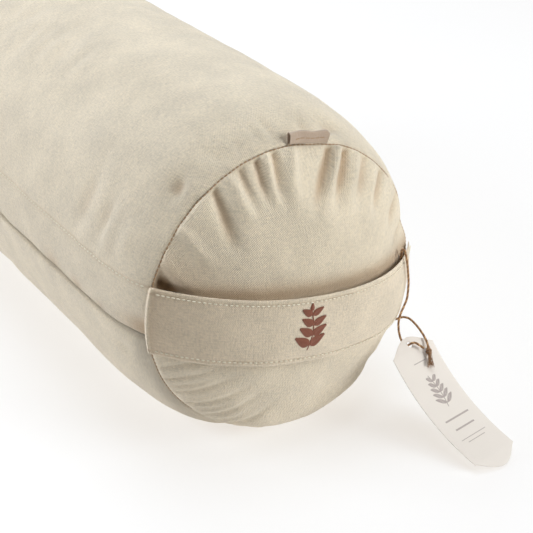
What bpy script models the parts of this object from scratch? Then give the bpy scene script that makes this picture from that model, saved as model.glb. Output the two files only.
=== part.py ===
"""Round bolster pillow: zipped canvas cover with a carry handle, inner case, filling and a hang tag.

The bolster lies along Y with its handle end towards -Y. The origin is on the floor, under the
middle of its length. Units are metres, +Z up.
"""
import math

import bmesh
import bpy
from mathutils import Matrix, Vector

# ---- driving dimensions -------------------------------------------------------------------------
BARREL_LENGTH = 0.560            # between the two end seams
BARREL_HALF_WIDTH = 0.1186
BARREL_HALF_HEIGHT = 0.1305
BARREL_CENTRE_Z = 0.1040         # less than the half height, so the underside is pressed flat
RING_HALF_WIDTH = 0.1077         # the end seams are drawn in
RING_HALF_HEIGHT = 0.1072
RING_CENTRE_Z = 0.1040
SWELL_LENGTH = 0.024             # how quickly the barrel fills out behind a seam
END_BULGE = 0.0455
END_POWER = 2.4                  # an end panel's height is bulge * (1 - s ** power) ** shoulder
END_SHOULDER = 0.95              # towards the sides and the crown
END_SHOULDER_DROP = 0.40         # taken off towards the floor, where the filling sags

CANVAS = 0.0010
CASE_CLOTH = 0.0008
GAP = 0.0004                     # between touching layers

SEAM_THREAD_START = 0.0004       # distances behind the seam plane
SEAM_THREAD_END = 0.0013
BARREL_START = 0.0017

STRAP_CENTRE_Z = 0.099
STRAP_SLOPE = math.radians(6.7)
STRAP_HALF_WIDTH = 0.0243
STRAP_THICKNESS = 0.0018
STRAP_STANDOFF = 0.0065          # finger room in the middle of the handle
STITCH_INSET = 0.0035
THREAD = 0.0006
MOTIF_SHARE = 0.428              # along the strap
MOTIF_HEIGHT = 0.0350
MOTIF_LOBES = 4.5
MOTIF_STEM = 0.0008
MOTIF_LEAF = 0.0115

FLAP_TOP_Z = 0.1320
FLAP_EDGE_Z = 0.0980
FLAP_THICKNESS = 0.0016
ZIP_Z = 0.1150
ZIP_END_MARGIN = 0.060           # from each end seam to the end of the zip
ZIP_SPLIT = 0.0010               # between the two rows, where the slider's wedge runs
TAPE_DEPTH = 0.0092              # depths are measured inwards from the barrel's surface
TAPE_THICKNESS = 0.0006
COIL_DEPTH = 0.0071
COIL_THICKNESS = 0.0018
COIL_WIDTH = 0.0022
CASE_DEPTH_AT_ZIP = 0.0130

LABEL_START = math.radians(72.3)
LABEL_END = math.radians(88.6)
LABEL_HEIGHT = 0.0090

TAG_HALF_WIDTH = 0.0215
TAG_SIDE_LENGTH = 0.0920
TAG_PEAK = 0.0104                # how far each pointed end stands beyond the side edges
TAG_CARD = 0.0006
TAG_BOW = 0.0070                 # the card sags between its corners
TAG_TIP_CURL = 0.8               # share of the bow's slope that its pointed ends keep
TAG_HOLE_RADIUS = 0.0022
TAG_HOLE_AT = 0.1070             # from the lower point
TAG_TURN = math.radians(9.8)
TAG_LEAN = math.radians(31.1)
TAG_ROLL = math.radians(-3.2)
TWINE_DIAMETER = 0.0015

# ---- places worked out from the driving dimensions -----------------------------------------------
FRONT_REACH = END_BULGE + STRAP_STANDOFF + STRAP_THICKNESS + THREAD + 4.0 * GAP
TOTAL_LENGTH = FRONT_REACH + BARREL_LENGTH + END_BULGE
FRONT_Y = -TOTAL_LENGTH / 2 + FRONT_REACH        # plane of the front end seam
REAR_Y = FRONT_Y + BARREL_LENGTH
ZIP_FRONT_Y = FRONT_Y + ZIP_END_MARGIN
ZIP_REAR_Y = REAR_Y - ZIP_END_MARGIN

# The twine's routes, chosen by hand. X and Z are world positions and Y is measured from the front
# seam. The loop starts under the handle's right end and passes behind it and over its upper edge.
# The long run hangs from the loop, down the handle's face, and comes up through the tag's hole.
# The short run closes the circle from under the handle to the knot.
TWINE_LOOP_ROUTE = (
    (0.0862, -0.0160, 0.0585),
    (0.0860, -0.0173, 0.0645),
    (0.0860, -0.0190, 0.0700),
    (0.0860, -0.0207, 0.0800),
    (0.0860, -0.0217, 0.0900),
    (0.0859, -0.0216, 0.1000),
    (0.0857, -0.0214, 0.1080),
    (0.0855, -0.0213, 0.1130),
    (0.0852, -0.0218, 0.1165),
    (0.0848, -0.0233, 0.1189),
    (0.0845, -0.0244, 0.1195),
    (0.0843, -0.0252, 0.1197),
)
TWINE_LONG_ROUTE = (
    (0.0842, -0.0261, 0.1197),
    (0.0840, -0.0269, 0.1195),
    (0.0837, -0.0282, 0.1183),
    (0.0835, -0.0298, 0.1152),
    (0.0842, -0.0300, 0.1110),
    (0.0856, -0.0291, 0.1070),
    (0.0874, -0.0277, 0.1015),
    (0.0889, -0.0267, 0.0957),
    (0.0895, -0.0264, 0.0895),
    (0.0885, -0.0270, 0.0800),
    (0.0847, -0.0286, 0.0748),
    (0.0805, -0.0306, 0.0712),
    (0.0774, -0.0325, 0.0665),
    (0.0757, -0.0352, 0.0608),
    (0.0749, -0.0388, 0.0562),
    (0.0745, -0.0426, 0.0541),
    (0.0744, -0.0463, 0.0541),
    (0.0749, -0.0487, 0.0561),
    (0.0758, -0.0507, 0.0582),
    (0.0780, -0.0522, 0.0582),
    (0.0811, -0.0537, 0.0557),
    (0.0832, -0.0550, 0.0536),
)
TWINE_SHORT_ROUTE = (
    (0.0888, -0.0172, 0.0592),
    (0.0903, -0.0215, 0.0607),
    (0.0914, -0.0275, 0.0617),
    (0.0911, -0.0365, 0.0604),
    (0.0901, -0.0447, 0.0582),
    (0.0892, -0.0507, 0.0553),
    (0.0881, -0.0542, 0.0530),
)
TAG_PIVOT = (0.0842, -0.0257, 0.1206)       # on top of the twine, where the loop ends

# Where the front seam is pulled out of its even ring: angle and spread in degrees, then X and Z.
SEAM_PULLS = ((78.0, 10.5, 0.0, -0.0020), (14.0, 7.5, -0.0042, 0.0))
SEAM_PULL_REACH = 0.022
PULLED = ("cover_barrel", "cover_end_front", "end_seam_thread_front", "fold_label", "case_barrel",
          "case_end_front", "filling")

ROUND_STEPS = 32
COLOURS = {
    "canvas": (0.78, 0.73, 0.63),
    "strap": (0.76, 0.71, 0.61),
    "thread": (0.82, 0.78, 0.69),
    "case": (0.90, 0.89, 0.85),
    "fibre": (0.93, 0.92, 0.88),
    "tape": (0.80, 0.76, 0.66),
    "coil": (0.74, 0.69, 0.58),
    "metal": (0.62, 0.60, 0.55),
    "label": (0.76, 0.68, 0.60),
    "embroidery": (0.30, 0.13, 0.07),
    "card": (0.80, 0.77, 0.75),
    "twine": (0.42, 0.24, 0.11),
}


# ---- helpers ---------------------------------------------------------------------------------------
def clear_scene():
    for item in list(bpy.data.objects):
        bpy.data.objects.remove(item, do_unlink=True)


def make_material(name, colour, roughness=0.85, metallic=0.0):
    material = bpy.data.materials.new(name)
    material.use_nodes = True
    shader = material.node_tree.nodes["Principled BSDF"]
    shader.inputs["Base Color"].default_value = (*COLOURS[colour], 1.0)
    shader.inputs["Roughness"].default_value = roughness
    shader.inputs["Metallic"].default_value = metallic
    return material


def pull_seam(point):
    """A point of the cover, moved with the front seam where that is pulled in or down."""
    height = point.z - RING_CENTRE_Z
    turn = math.degrees(math.atan2(height, point.x))
    near = math.exp(-((point.y - FRONT_Y) / SEAM_PULL_REACH) ** 2)
    near *= min(math.hypot(point.x, height) / 0.08, 1.0) ** 2
    moved = Vector(point)
    for middle, spread, x, z in SEAM_PULLS:
        moved += Vector((x, 0.0, z)) * near * math.exp(-((turn - middle) / spread) ** 2)
    return moved


def add_object(name, build, colour, origin=(0.0, 0.0, 0.0), roughness=0.85, metallic=0.0):
    """Make an object from a bmesh in world space, with its origin at the given point."""
    if name in PULLED:
        for vert in build.verts:
            vert.co = pull_seam(vert.co)
    bmesh.ops.recalc_face_normals(build, faces=build.faces)
    bmesh.ops.translate(build, verts=build.verts, vec=-Vector(origin))
    mesh = bpy.data.meshes.new(name)
    build.to_mesh(mesh)
    build.free()
    mesh.shade_smooth()
    mesh.set_sharp_from_angle(angle=math.radians(40.0))
    item = bpy.data.objects.new(name, mesh)
    item.location = origin
    item.data.materials.append(make_material(name, colour, roughness, metallic))
    bpy.context.collection.objects.link(item)
    return item


def grid_normals(grid, wrap):
    """Unit normals of a grid of points, from its neighbours along rows and columns."""
    rows, columns = len(grid), len(grid[0])
    normals = []
    for i in range(rows):
        line = []
        for j in range(columns):
            before, after = max(i - 1, 0), min(i + 1, rows - 1)
            left = (j - 1) % columns if wrap else max(j - 1, 0)
            right = (j + 1) % columns if wrap else min(j + 1, columns - 1)
            along = grid[after][j] - grid[before][j]
            across = grid[i][right] - grid[i][left]
            line.append(across.cross(along).normalized())
        normals.append(line)
    return normals


def offset_grid(grid, distance, wrap=False):
    normals = grid_normals(grid, wrap)
    return [[p + n * distance for p, n in zip(*pair)] for pair in zip(grid, normals)]


def add_grid(build, grid, wrap, flip=False):
    """Add the quads of one grid and return its vertices."""
    verts = [[build.verts.new(p) for p in line] for line in grid]
    columns = len(grid[0])
    for lower, upper in zip(verts, verts[1:]):
        for j in range(columns if wrap else columns - 1):
            k = (j + 1) % columns
            quad = (lower[j], lower[k], upper[k], upper[j])
            build.faces.new(quad[::-1] if flip else quad)
    return verts


def join_lines(build, first, second, closed):
    count = len(first)
    for j in range(count if closed else count - 1):
        k = (j + 1) % count
        build.faces.new((first[j], second[j], second[k], first[k]))


def sheet_mesh(outer, inner, wrap=False):
    """A closed body between two grids: a strip, a shell or a tube wall."""
    build = bmesh.new()
    front = add_grid(build, outer, wrap)
    back = add_grid(build, inner, wrap, flip=True)
    join_lines(build, front[0], back[0], wrap)
    join_lines(build, back[-1], front[-1], wrap)
    if not wrap:
        join_lines(build, [v[0] for v in back], [v[0] for v in front], False)
        join_lines(build, [v[-1] for v in front], [v[-1] for v in back], False)
    return build


def prism_mesh(outline, start, end, place):
    """Extrude a flat outline of (a, b) points from start to end; place(a, b, c) gives the point."""
    build = bmesh.new()
    lower = [build.verts.new(place(a, b, start)) for a, b in outline]
    upper = [build.verts.new(place(a, b, end)) for a, b in outline]
    build.faces.new(lower[::-1])
    build.faces.new(upper)
    join_lines(build, lower, upper, True)
    return build


def along_y(a, b, c):
    return Vector((a, c, b))


def box_outline(low, high):
    return [(low[0], low[1]), (high[0], low[1]), (high[0], high[1]), (low[0], high[1])]


def blend(low, high, share):
    return low + (high - low) * share


# ---- the bolster's form ------------------------------------------------------------------------------
def fullness(y):
    """0 at an end seam, towards 1 in the middle of the barrel."""
    distance = max(min(y - FRONT_Y, REAR_Y - y), 0.0)
    return 1.0 - math.exp(-distance / SWELL_LENGTH)


def barrel_sizes(y, inset):
    full = fullness(y)
    half_width = blend(RING_HALF_WIDTH, BARREL_HALF_WIDTH, full) - inset
    half_height = blend(RING_HALF_HEIGHT, BARREL_HALF_HEIGHT, full) - inset
    return half_width, half_height, blend(RING_CENTRE_Z, BARREL_CENTRE_Z, full)


def barrel_point(angle, y, inset=0.0, zip_recess=0.0):
    """A point of the barrel's surface; its underside is flat on the floor."""
    half_width, half_height, centre = barrel_sizes(y, inset)
    x = half_width * math.cos(angle)
    z = max(centre + half_height * math.sin(angle), inset)
    if zip_recess and x < 0.0:
        share = max(0.0, 1.0 - ((z - ZIP_Z) / 0.036) ** 4)
        x += zip_recess * share
    return Vector((x, y, z))


def side_x(z, y):
    """X of the barrel's surface on its zipped (-X) side."""
    half_width, half_height, centre = barrel_sizes(y, 0.0)
    return -half_width * math.sqrt(max(1.0 - ((z - centre) / half_height) ** 2, 0.0))


def side_point(z, depth, y):
    return Vector((side_x(z, y) + depth, y, z))


def barrel_stations(first, last):
    """Positions along the barrel, closer together where it swells."""
    steps = (0.0, 0.005, 0.012, 0.022, 0.036, 0.060, 0.120)
    front = [FRONT_Y + s for s in steps]
    rear = [REAR_Y - s for s in steps[::-1]]
    middle = [(FRONT_Y + REAR_Y) / 2]
    inside = [y for y in front + middle + rear if first + 0.002 < y < last - 0.002]
    return [first] + inside + [last]


def dome(s, downward):
    """Height of an end panel, 0 to 1, at a share s of the way to its seam; downward is -1 to 1."""
    shoulder = END_SHOULDER - END_SHOULDER_DROP * max(downward, 0.0)
    return max(1.0 - s ** END_POWER, 0.0) ** shoulder


def end_height(x, z, grow=0.0):
    """How far an end panel stands out from its seam plane at (x, z)."""
    across, down = x / (RING_HALF_WIDTH + grow), (RING_CENTRE_Z - z) / (RING_HALF_HEIGHT + grow)
    s = math.hypot(across, down)
    return (END_BULGE + grow) * dome(s, down / s if s > 0.0 else 0.0)


def end_grid(seam_y, side, inset, rings=(0.06, 0.2, 0.4, 0.58, 0.72, 0.82, 0.90, 0.96, 1.0)):
    grid = []
    for s in rings:
        line = []
        for j in range(ROUND_STEPS):
            angle = 2.0 * math.pi * j / ROUND_STEPS
            x = (RING_HALF_WIDTH - inset) * s * math.cos(angle)
            z = max(RING_CENTRE_Z + (RING_HALF_HEIGHT - inset) * s * math.sin(angle), inset)
            height = (END_BULGE - inset) * dome(s, -math.sin(angle))
            line.append(Vector((x, seam_y + side * height, z)))
        grid.append(line)
    return grid


def end_mesh(seam_y, side, inset, thickness):
    """A domed end panel: a shallow cup with a closed middle, open at its seam."""
    outer = end_grid(seam_y, side, inset)
    inner = end_grid(seam_y, side, inset + thickness)
    build = bmesh.new()
    front = add_grid(build, outer, True)
    back = add_grid(build, inner, True, flip=True)
    join_lines(build, back[-1], front[-1], True)
    build.faces.new(front[0])
    build.faces.new(back[0][::-1])
    return build


# ---- cover ---------------------------------------------------------------------------------------------
def lap_points():
    """(z, depth) of the lower edge of the barrel panel where it tucks in under the flap."""
    return ((0.0962, 0.0), (0.0972, 0.0014), (0.0982, 0.0030), (0.1002, 0.0050), (0.1028, 0.0063),
            (0.1050, 0.0066), (0.1085, 0.0066))


def cover_outline(y, steps=32):
    """The canvas in section, from the top of the flap over the crown to the tucked lower edge."""
    half_height, centre = barrel_sizes(y, 0.0)[1:]
    start = math.pi - math.asin((FLAP_TOP_Z + GAP - centre) / half_height)
    end = math.asin((centre - lap_points()[0][0]) / half_height) - math.pi
    line = [barrel_point(blend(start, end, i / steps), y) for i in range(steps)]
    return line + [side_point(z, depth, y) for z, depth in lap_points()]


def offset_section(line, distance):
    """Move a section inwards; it runs clockwise as seen from the front."""
    moved = []
    for i, point in enumerate(line):
        before, after = line[max(i - 1, 0)], line[min(i + 1, len(line) - 1)]
        run = (after - before).normalized()
        moved.append(point + Vector((run.z, 0.0, -run.x)) * distance)
    return moved


def make_cover_barrel():
    stations = barrel_stations(FRONT_Y + BARREL_START, REAR_Y - BARREL_START)
    outer = [cover_outline(y) for y in stations]
    inner = [offset_section(line, CANVAS) for line in outer]
    add_object("cover_barrel", sheet_mesh(outer, inner), "canvas")


def make_cover_ends():
    add_object("cover_end_front", end_mesh(FRONT_Y, -1.0, 0.0, CANVAS), "canvas")
    add_object("cover_end_rear", end_mesh(REAR_Y, 1.0, 0.0, CANVAS), "canvas")


def seam_thread_mesh(seam_y, side):
    """The thread that closes an end seam: a flat ring between the end panel and the barrel."""
    def ring(inset):
        lines = []
        for distance in (SEAM_THREAD_START, SEAM_THREAD_END):
            y = seam_y - side * distance
            lines.append([Vector((
                (RING_HALF_WIDTH - inset) * math.cos(2.0 * math.pi * j / ROUND_STEPS), y,
                max(RING_CENTRE_Z + (RING_HALF_HEIGHT - inset) * math.sin(2.0 * math.pi * j / ROUND_STEPS),
                    inset))) for j in range(ROUND_STEPS)])
        return lines
    return sheet_mesh(ring(0.0003), ring(0.0003 + 0.0009), wrap=True)


def make_seam_threads():
    add_object("end_seam_thread_front", seam_thread_mesh(FRONT_Y, -1.0), "thread")
    add_object("end_seam_thread_rear", seam_thread_mesh(REAR_Y, 1.0), "thread")


# ---- zip fastener under its flap ---------------------------------------------------------------------------
def side_strip(points, thickness, first, last):
    """A strip along the zipped side, from (z, depth) points of its outer face."""
    stations = barrel_stations(first, last)
    outer = [[side_point(z, depth, y) for z, depth in points] for y in stations]
    inner = [[side_point(z, depth + thickness, y) for z, depth in points] for y in stations]
    return sheet_mesh(outer, inner)


def straight_strip(points, thickness, first, last):
    """A strip of one section, from (z, depth) points measured at the middle of the barrel."""
    outer = [(side_x(z, 0.0) + depth, z) for z, depth in points]
    inner = [(side_x(z, 0.0) + depth + thickness, z) for z, depth in points]
    return prism_mesh(outer + inner[::-1], first, last, along_y)


def flap_hinge():
    return Vector((side_x(FLAP_TOP_Z, 0.0), 0.0, FLAP_TOP_Z))


def make_placket_flap():
    steps = 5
    points = [(blend(FLAP_TOP_Z, FLAP_EDGE_Z, i / steps), 0.0) for i in range(steps + 1)]
    build = side_strip(points, FLAP_THICKNESS, FRONT_Y + 0.003, REAR_Y - 0.003)
    add_object("placket_flap", build, "canvas", origin=flap_hinge())


def make_placket_topstitch():
    top = FLAP_TOP_Z + 0.0016
    points = [(top + 0.0008, -THREAD - GAP), (top, -THREAD - GAP)]
    build = side_strip(points, THREAD, FRONT_Y + 0.004, REAR_Y - 0.004)
    add_object("placket_topstitch", build, "thread")


def make_zip_tapes():
    upper = [(ZIP_Z + ZIP_SPLIT / 2, TAPE_DEPTH), (ZIP_Z + 0.0060, TAPE_DEPTH), (0.1262, 0.0056),
             (0.1300, 0.0038), (0.1335, 0.0034), (0.1410, 0.0036)]
    lower = [(ZIP_Z - ZIP_SPLIT / 2, TAPE_DEPTH), (0.1080, TAPE_DEPTH), (0.1010, TAPE_DEPTH)]
    for name, points in (("zip_tape_upper", upper), ("zip_tape_lower", lower)):
        build = straight_strip(points, TAPE_THICKNESS, ZIP_FRONT_Y, ZIP_REAR_Y)
        add_object(name, build, "tape")


def zip_block(low_depth, high_depth, low_z, high_z, first, last):
    """A straight block along the zip, placed by depth and by height from the zip's line."""
    base = side_x(ZIP_Z, 0.0)
    outline = box_outline((base + low_depth, ZIP_Z + low_z), (base + high_depth, ZIP_Z + high_z))
    return prism_mesh(outline, first, last, along_y)


def make_zip_coils():
    first, last = ZIP_FRONT_Y + 0.006, ZIP_REAR_Y - 0.006
    for name, low in (("zip_coil_upper", ZIP_SPLIT / 2), ("zip_coil_lower", -ZIP_SPLIT / 2 - COIL_WIDTH)):
        build = zip_block(COIL_DEPTH, COIL_DEPTH + COIL_THICKNESS, low, low + COIL_WIDTH, first, last)
        add_object(name, build, "coil", roughness=0.5)


def make_zip_stops():
    half = ZIP_SPLIT / 2 + COIL_WIDTH
    front = ZIP_FRONT_Y + 0.0022
    build = zip_block(COIL_DEPTH, COIL_DEPTH + COIL_THICKNESS, -half, half, front, front + 0.0034)
    add_object("zip_bottom_stop", build, "metal", roughness=0.35, metallic=1.0)
    rear = ZIP_REAR_Y - 0.0022
    for name, low in (("zip_top_stop_upper", ZIP_SPLIT / 2), ("zip_top_stop_lower", -half)):
        build = zip_block(COIL_DEPTH, COIL_DEPTH + COIL_THICKNESS, low, low + COIL_WIDTH, rear - 0.0034, rear)
        add_object(name, build, "metal", roughness=0.35, metallic=1.0)


SLIDER_Y = ZIP_REAR_Y - 0.0130     # middle of the slider with the zip closed
SLIDER_HALF_LENGTH = 0.0060
SLIDER_HALF_WIDTH = 0.0039
PULL_DEPTH = 0.0048                # depth of the pull's pivot bar
BAIL_HALF_LENGTH = 0.0036


def slider_outline():
    """The slider in section: two plates joined by a wedge, with flanges round the coils."""
    base = side_x(ZIP_Z, 0.0)
    top, under, bottom, back = 0.0056, COIL_DEPTH - GAP, TAPE_DEPTH + TAPE_THICKNESS + 0.0005, 0.0114
    flange = COIL_DEPTH + 0.0014
    half, wall, wedge = SLIDER_HALF_WIDTH, 0.0008, 0.0002
    right = [(top, half), (flange, half), (flange, half - wall), (under, half - wall), (under, wedge),
             (bottom, wedge), (bottom, half), (back, half)]
    left = [(depth, -z) for depth, z in right[::-1]]
    return [(base + depth, ZIP_Z + z) for depth, z in right + left]


def make_zip_slider():
    middle = Vector((side_x(ZIP_Z, 0.0) + 0.0056, SLIDER_Y, ZIP_Z))
    build = prism_mesh(slider_outline(), SLIDER_Y - SLIDER_HALF_LENGTH, SLIDER_Y + SLIDER_HALF_LENGTH, along_y)
    slider = add_object("zip_slider", build, "metal", origin=middle, roughness=0.3, metallic=1.0)
    base = side_x(ZIP_Z, 0.0)
    half, leg = BAIL_HALF_LENGTH, 0.0009
    arch = [(-half, 0.0060), (-half, 0.0032), (half, 0.0032), (half, 0.0060),
            (half - leg, 0.0060), (half - leg, 0.0040), (-half + leg, 0.0040), (-half + leg, 0.0060)]

    def place(along, depth, across):
        return Vector((base + depth, SLIDER_Y + along, ZIP_Z + across))
    bail = add_object("slider_bail_cutter", prism_mesh(arch, -0.0011, 0.0011, place), "metal")
    bail.hide_render = True
    bail.display_type = "WIRE"
    union = slider.modifiers.new("bail", "BOOLEAN")
    union.operation = "UNION"
    union.object = bail


def make_zip_pull():
    """A flat tab with a window; its end bar lies under the slider's bail, on the hinge axis."""
    base = side_x(ZIP_Z, 0.0)
    thickness, bar = 0.0009, 0.0005
    pivot = Vector((base + PULL_DEPTH, SLIDER_Y, ZIP_Z))

    def place(along, across, depth):
        return Vector((base + PULL_DEPTH + depth, SLIDER_Y - along, ZIP_Z + across))
    body = [(-bar, -0.0030), (0.0060, -0.0030), (0.0200, -0.0036), (0.0225, -0.0022), (0.0225, 0.0022),
            (0.0200, 0.0036), (0.0060, 0.0030), (-bar, 0.0030)]
    pull = add_object("zip_pull", prism_mesh(body, -thickness / 2, thickness / 2, place), "metal",
                      origin=pivot, roughness=0.3, metallic=1.0)
    window = box_outline((bar, -0.0016), (0.0060, 0.0016))
    cutter = add_object("pull_window_cutter", prism_mesh(window, -0.002, 0.002, place), "metal")
    cutter.hide_render = True
    cutter.display_type = "WIRE"
    cut = pull.modifiers.new("window", "BOOLEAN")
    cut.operation = "DIFFERENCE"
    cut.object = cutter


# ---- carry handle -----------------------------------------------------------------------------------------------
def strap_direction():
    return Vector((math.cos(STRAP_SLOPE), 0.0, -math.sin(STRAP_SLOPE)))


def strap_across():
    return Vector((math.sin(STRAP_SLOPE), 0.0, math.cos(STRAP_SLOPE)))


def strap_ends(across):
    """Where the strap's line at a distance across its width meets the seam, along its direction."""
    grow = GAP
    half_width, half_height = RING_HALF_WIDTH + grow, RING_HALF_HEIGHT + grow
    start = Vector((0.0, 0.0, STRAP_CENTRE_Z)) + strap_across() * across
    run = strap_direction()
    a = (run.x / half_width) ** 2 + (run.z / half_height) ** 2
    b = start.x * run.x / half_width ** 2 + (start.z - RING_CENTRE_Z) * run.z / half_height ** 2
    c = (start.x / half_width) ** 2 + ((start.z - RING_CENTRE_Z) / half_height) ** 2 - 1.0
    root = math.sqrt(b * b - a * c)
    return start, (-b - root) / a, (-b + root) / a


def strap_point(share, across):
    """A point of the strap's inner face; share runs from 0 at the left seam to 1 at the right."""
    start, low, high = strap_ends(across)
    point = start + strap_direction() * blend(low, high, share)
    u = 2.0 * share - 1.0
    standoff = GAP + STRAP_STANDOFF * (1.0 - u * u)
    point.y = FRONT_Y - GAP - end_height(point.x, point.z, grow=GAP) - standoff
    return point


def strap_shares(steps, first=0.0, last=1.0):
    """Steps along the strap, closer together towards its ends."""
    return [blend(first, last, (1.0 - math.cos(math.pi * i / steps)) / 2.0) for i in range(steps + 1)]


def strap_grid(shares, lines):
    return [[strap_point(share, across) for across in lines] for share in shares]


def make_handle_strap():
    lines = [STRAP_HALF_WIDTH * k / 3.0 for k in range(-3, 4)]
    inner = strap_grid(strap_shares(20), lines)
    outer = offset_grid(inner, -STRAP_THICKNESS)
    add_object("handle_strap", sheet_mesh(outer, inner), "strap")


def make_handle_stitching():
    for name, middle in (("handle_topstitch_upper", STRAP_HALF_WIDTH - STITCH_INSET),
                         ("handle_topstitch_lower", -STRAP_HALF_WIDTH + STITCH_INSET)):
        base = strap_grid(strap_shares(20, 0.03, 0.97), [middle - 0.0004, middle + 0.0004])
        inner = offset_grid(base, -STRAP_THICKNESS - GAP)
        outer = offset_grid(base, -STRAP_THICKNESS - GAP - THREAD)
        add_object(name, sheet_mesh(outer, inner), "thread")


def make_handle_motif():
    """A plain leafy sprig embroidered on the strap, as one raised patch with a lobed outline."""
    rows = 32
    base = []
    for i in range(rows + 1):
        t = i / rows
        leaf = abs(math.sin(MOTIF_LOBES * math.pi * t)) ** 0.8
        half = MOTIF_STEM + MOTIF_LEAF * (1.0 - 0.45 * t) * leaf
        bend = 0.004 * math.sin(math.pi * t)
        line = []
        for edge in (-1.0, -0.5, 0.0, 0.5, 1.0):
            x = bend + edge * half
            line.append(strap_point(MOTIF_SHARE + x / (2.0 * RING_HALF_WIDTH), MOTIF_HEIGHT * (t - 0.5)))
        base.append(line)
    inner = offset_grid(base, STRAP_THICKNESS + GAP)
    outer = offset_grid(base, STRAP_THICKNESS + GAP + THREAD)
    add_object("handle_embroidery", sheet_mesh(outer, inner), "embroidery", roughness=0.7)


# ---- fold-over label ------------------------------------------------------------------------------------------------
def make_fold_label():
    """A strip folded double and caught in the seam, standing up from the crown of the end."""
    leg = 0.0008
    profile = [(-leg, 0.0), (-leg, 0.6), (-leg, 0.9), (-leg * 0.5, 1.0), (leg * 0.5, 1.0), (leg, 0.9),
               (leg, 0.6), (leg, 0.0)]
    steps = 8
    angles = [blend(LABEL_START, LABEL_END, i / steps) for i in range(steps + 1)]

    def grid(grow):
        lines = []
        for angle in angles:
            outwards = Vector((math.cos(angle), 0.0, math.sin(angle)))
            foot = Vector((RING_HALF_WIDTH * math.cos(angle), FRONT_Y - 0.0002,
                           RING_CENTRE_Z + RING_HALF_HEIGHT * math.sin(angle)))
            line = []
            for side, height in profile:
                top = 1.0 if height == 1.0 else 0.0
                y = side + math.copysign(grow, side) * (1.0 - 0.4 * top)
                line.append(foot + outwards * (0.0006 + height * LABEL_HEIGHT + top * grow) + Vector((0.0, y, 0.0)))
            lines.append(line)
        return lines
    middle = (LABEL_START + LABEL_END) / 2
    origin = pull_seam(Vector((RING_HALF_WIDTH * math.cos(middle), FRONT_Y - 0.0012,
                               RING_CENTRE_Z + RING_HALF_HEIGHT * math.sin(middle) + 0.0006)))
    add_object("fold_label", sheet_mesh(grid(0.00025), grid(-0.00025)), "label", origin=origin)


# ---- inner case and filling -------------------------------------------------------------------------------------------
CASE_INSET = 0.0034
FILL_INSET = CASE_INSET + CASE_CLOTH + 0.0030
CASE_SEAM = 0.012                 # the case's end seams lie this far inside the cover's


def tube_grid(inset, recess, first, last):
    lines = []
    for y in barrel_stations(first, last):
        lines.append([barrel_point(2.0 * math.pi * j / ROUND_STEPS, y, inset, recess)
                      for j in range(ROUND_STEPS)])
    return lines


def make_case():
    recess = CASE_DEPTH_AT_ZIP - CASE_INSET
    first, last = FRONT_Y + CASE_SEAM, REAR_Y - CASE_SEAM
    outer = tube_grid(CASE_INSET, recess, first, last)
    inner = tube_grid(CASE_INSET + CASE_CLOTH, recess, first, last)
    add_object("case_barrel", sheet_mesh(outer, inner, wrap=True), "case")
    for name, y, side in (("case_end_front", first, -1.0), ("case_end_rear", last, 1.0)):
        add_object(name, case_end_mesh(y, side, recess, CASE_INSET, CASE_CLOTH), "case")


def case_end_grid(y, side, recess, inset, bulge):
    """Rings that shrink from the case's section to its middle, doming outwards."""
    rim = [barrel_point(2.0 * math.pi * j / ROUND_STEPS, y, inset, recess) for j in range(ROUND_STEPS)]
    middle = Vector((0.0, y, RING_CENTRE_Z))
    grid = []
    for s in (0.1, 0.4, 0.7, 0.88, 1.0):
        height = bulge * (1.0 - s ** 3)
        grid.append([middle.lerp(p, s) + Vector((0.0, side * height, 0.0)) for p in rim])
    return grid


def case_end_mesh(y, side, recess, inset, thickness):
    start = y + side * GAP
    bulge = END_BULGE
    outer = case_end_grid(start, side, recess, inset, bulge)
    inner = case_end_grid(start, side, recess, inset + thickness, bulge - thickness)
    build = bmesh.new()
    front = add_grid(build, outer, True)
    back = add_grid(build, inner, True, flip=True)
    join_lines(build, back[-1], front[-1], True)
    build.faces.new(front[0])
    build.faces.new(back[0][::-1])
    return build


def make_filling():
    recess = CASE_DEPTH_AT_ZIP - CASE_INSET
    first, last = FRONT_Y + CASE_SEAM + 0.002, REAR_Y - CASE_SEAM - 0.002
    bulge = END_BULGE - 3.0 * CASE_CLOTH
    front = case_end_grid(first, -1.0, recess, FILL_INSET, bulge)
    rear = case_end_grid(last, 1.0, recess, FILL_INSET, bulge)[::-1]
    middle = tube_grid(FILL_INSET, recess, first, last)[1:-1]
    build = bmesh.new()
    rows = add_grid(build, front + middle + rear, True)
    build.faces.new(rows[0])
    build.faces.new(rows[-1][::-1])
    add_object("filling", build, "fibre", roughness=1.0)


# ---- hang tag on its twine ---------------------------------------------------------------------------------------------
def tag_frame():
    """The card's own axes: X across it, Y up its length, Z out of its printed face."""
    turn = Matrix.Rotation(TAG_TURN, 4, "Z") @ Matrix.Rotation(TAG_LEAN, 4, "X")
    turn = turn @ Matrix.Rotation(-TAG_ROLL, 4, "Y")
    foot = Vector((0.0905, FRONT_Y - 0.1388, 0.0001))
    return Matrix.Translation(foot) @ turn


def tag_outline(steps=10):
    """Half of the card's outline for one end, from the left edge to the right."""
    points = []
    for i in range(steps + 1):
        across = blend(-TAG_HALF_WIDTH, TAG_HALF_WIDTH, i / steps)
        s = abs(across) / TAG_HALF_WIDTH
        points.append((across, TAG_PEAK * (1.0 - s ** 1.7) * (1.0 - 0.45 * s ** 3)))
    return points


def tag_place(x, y, z):
    """A point of the bowed card, from its place across, along and above the card."""
    half_side = TAG_SIDE_LENGTH / 2
    t = abs(y - TAG_PEAK - half_side) / half_side
    rise = t * t - 1.0 if t < 1.0 else TAG_TIP_CURL * (t - 1.0)
    return tag_frame() @ Vector((x, y, z + TAG_BOW * rise))


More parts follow.
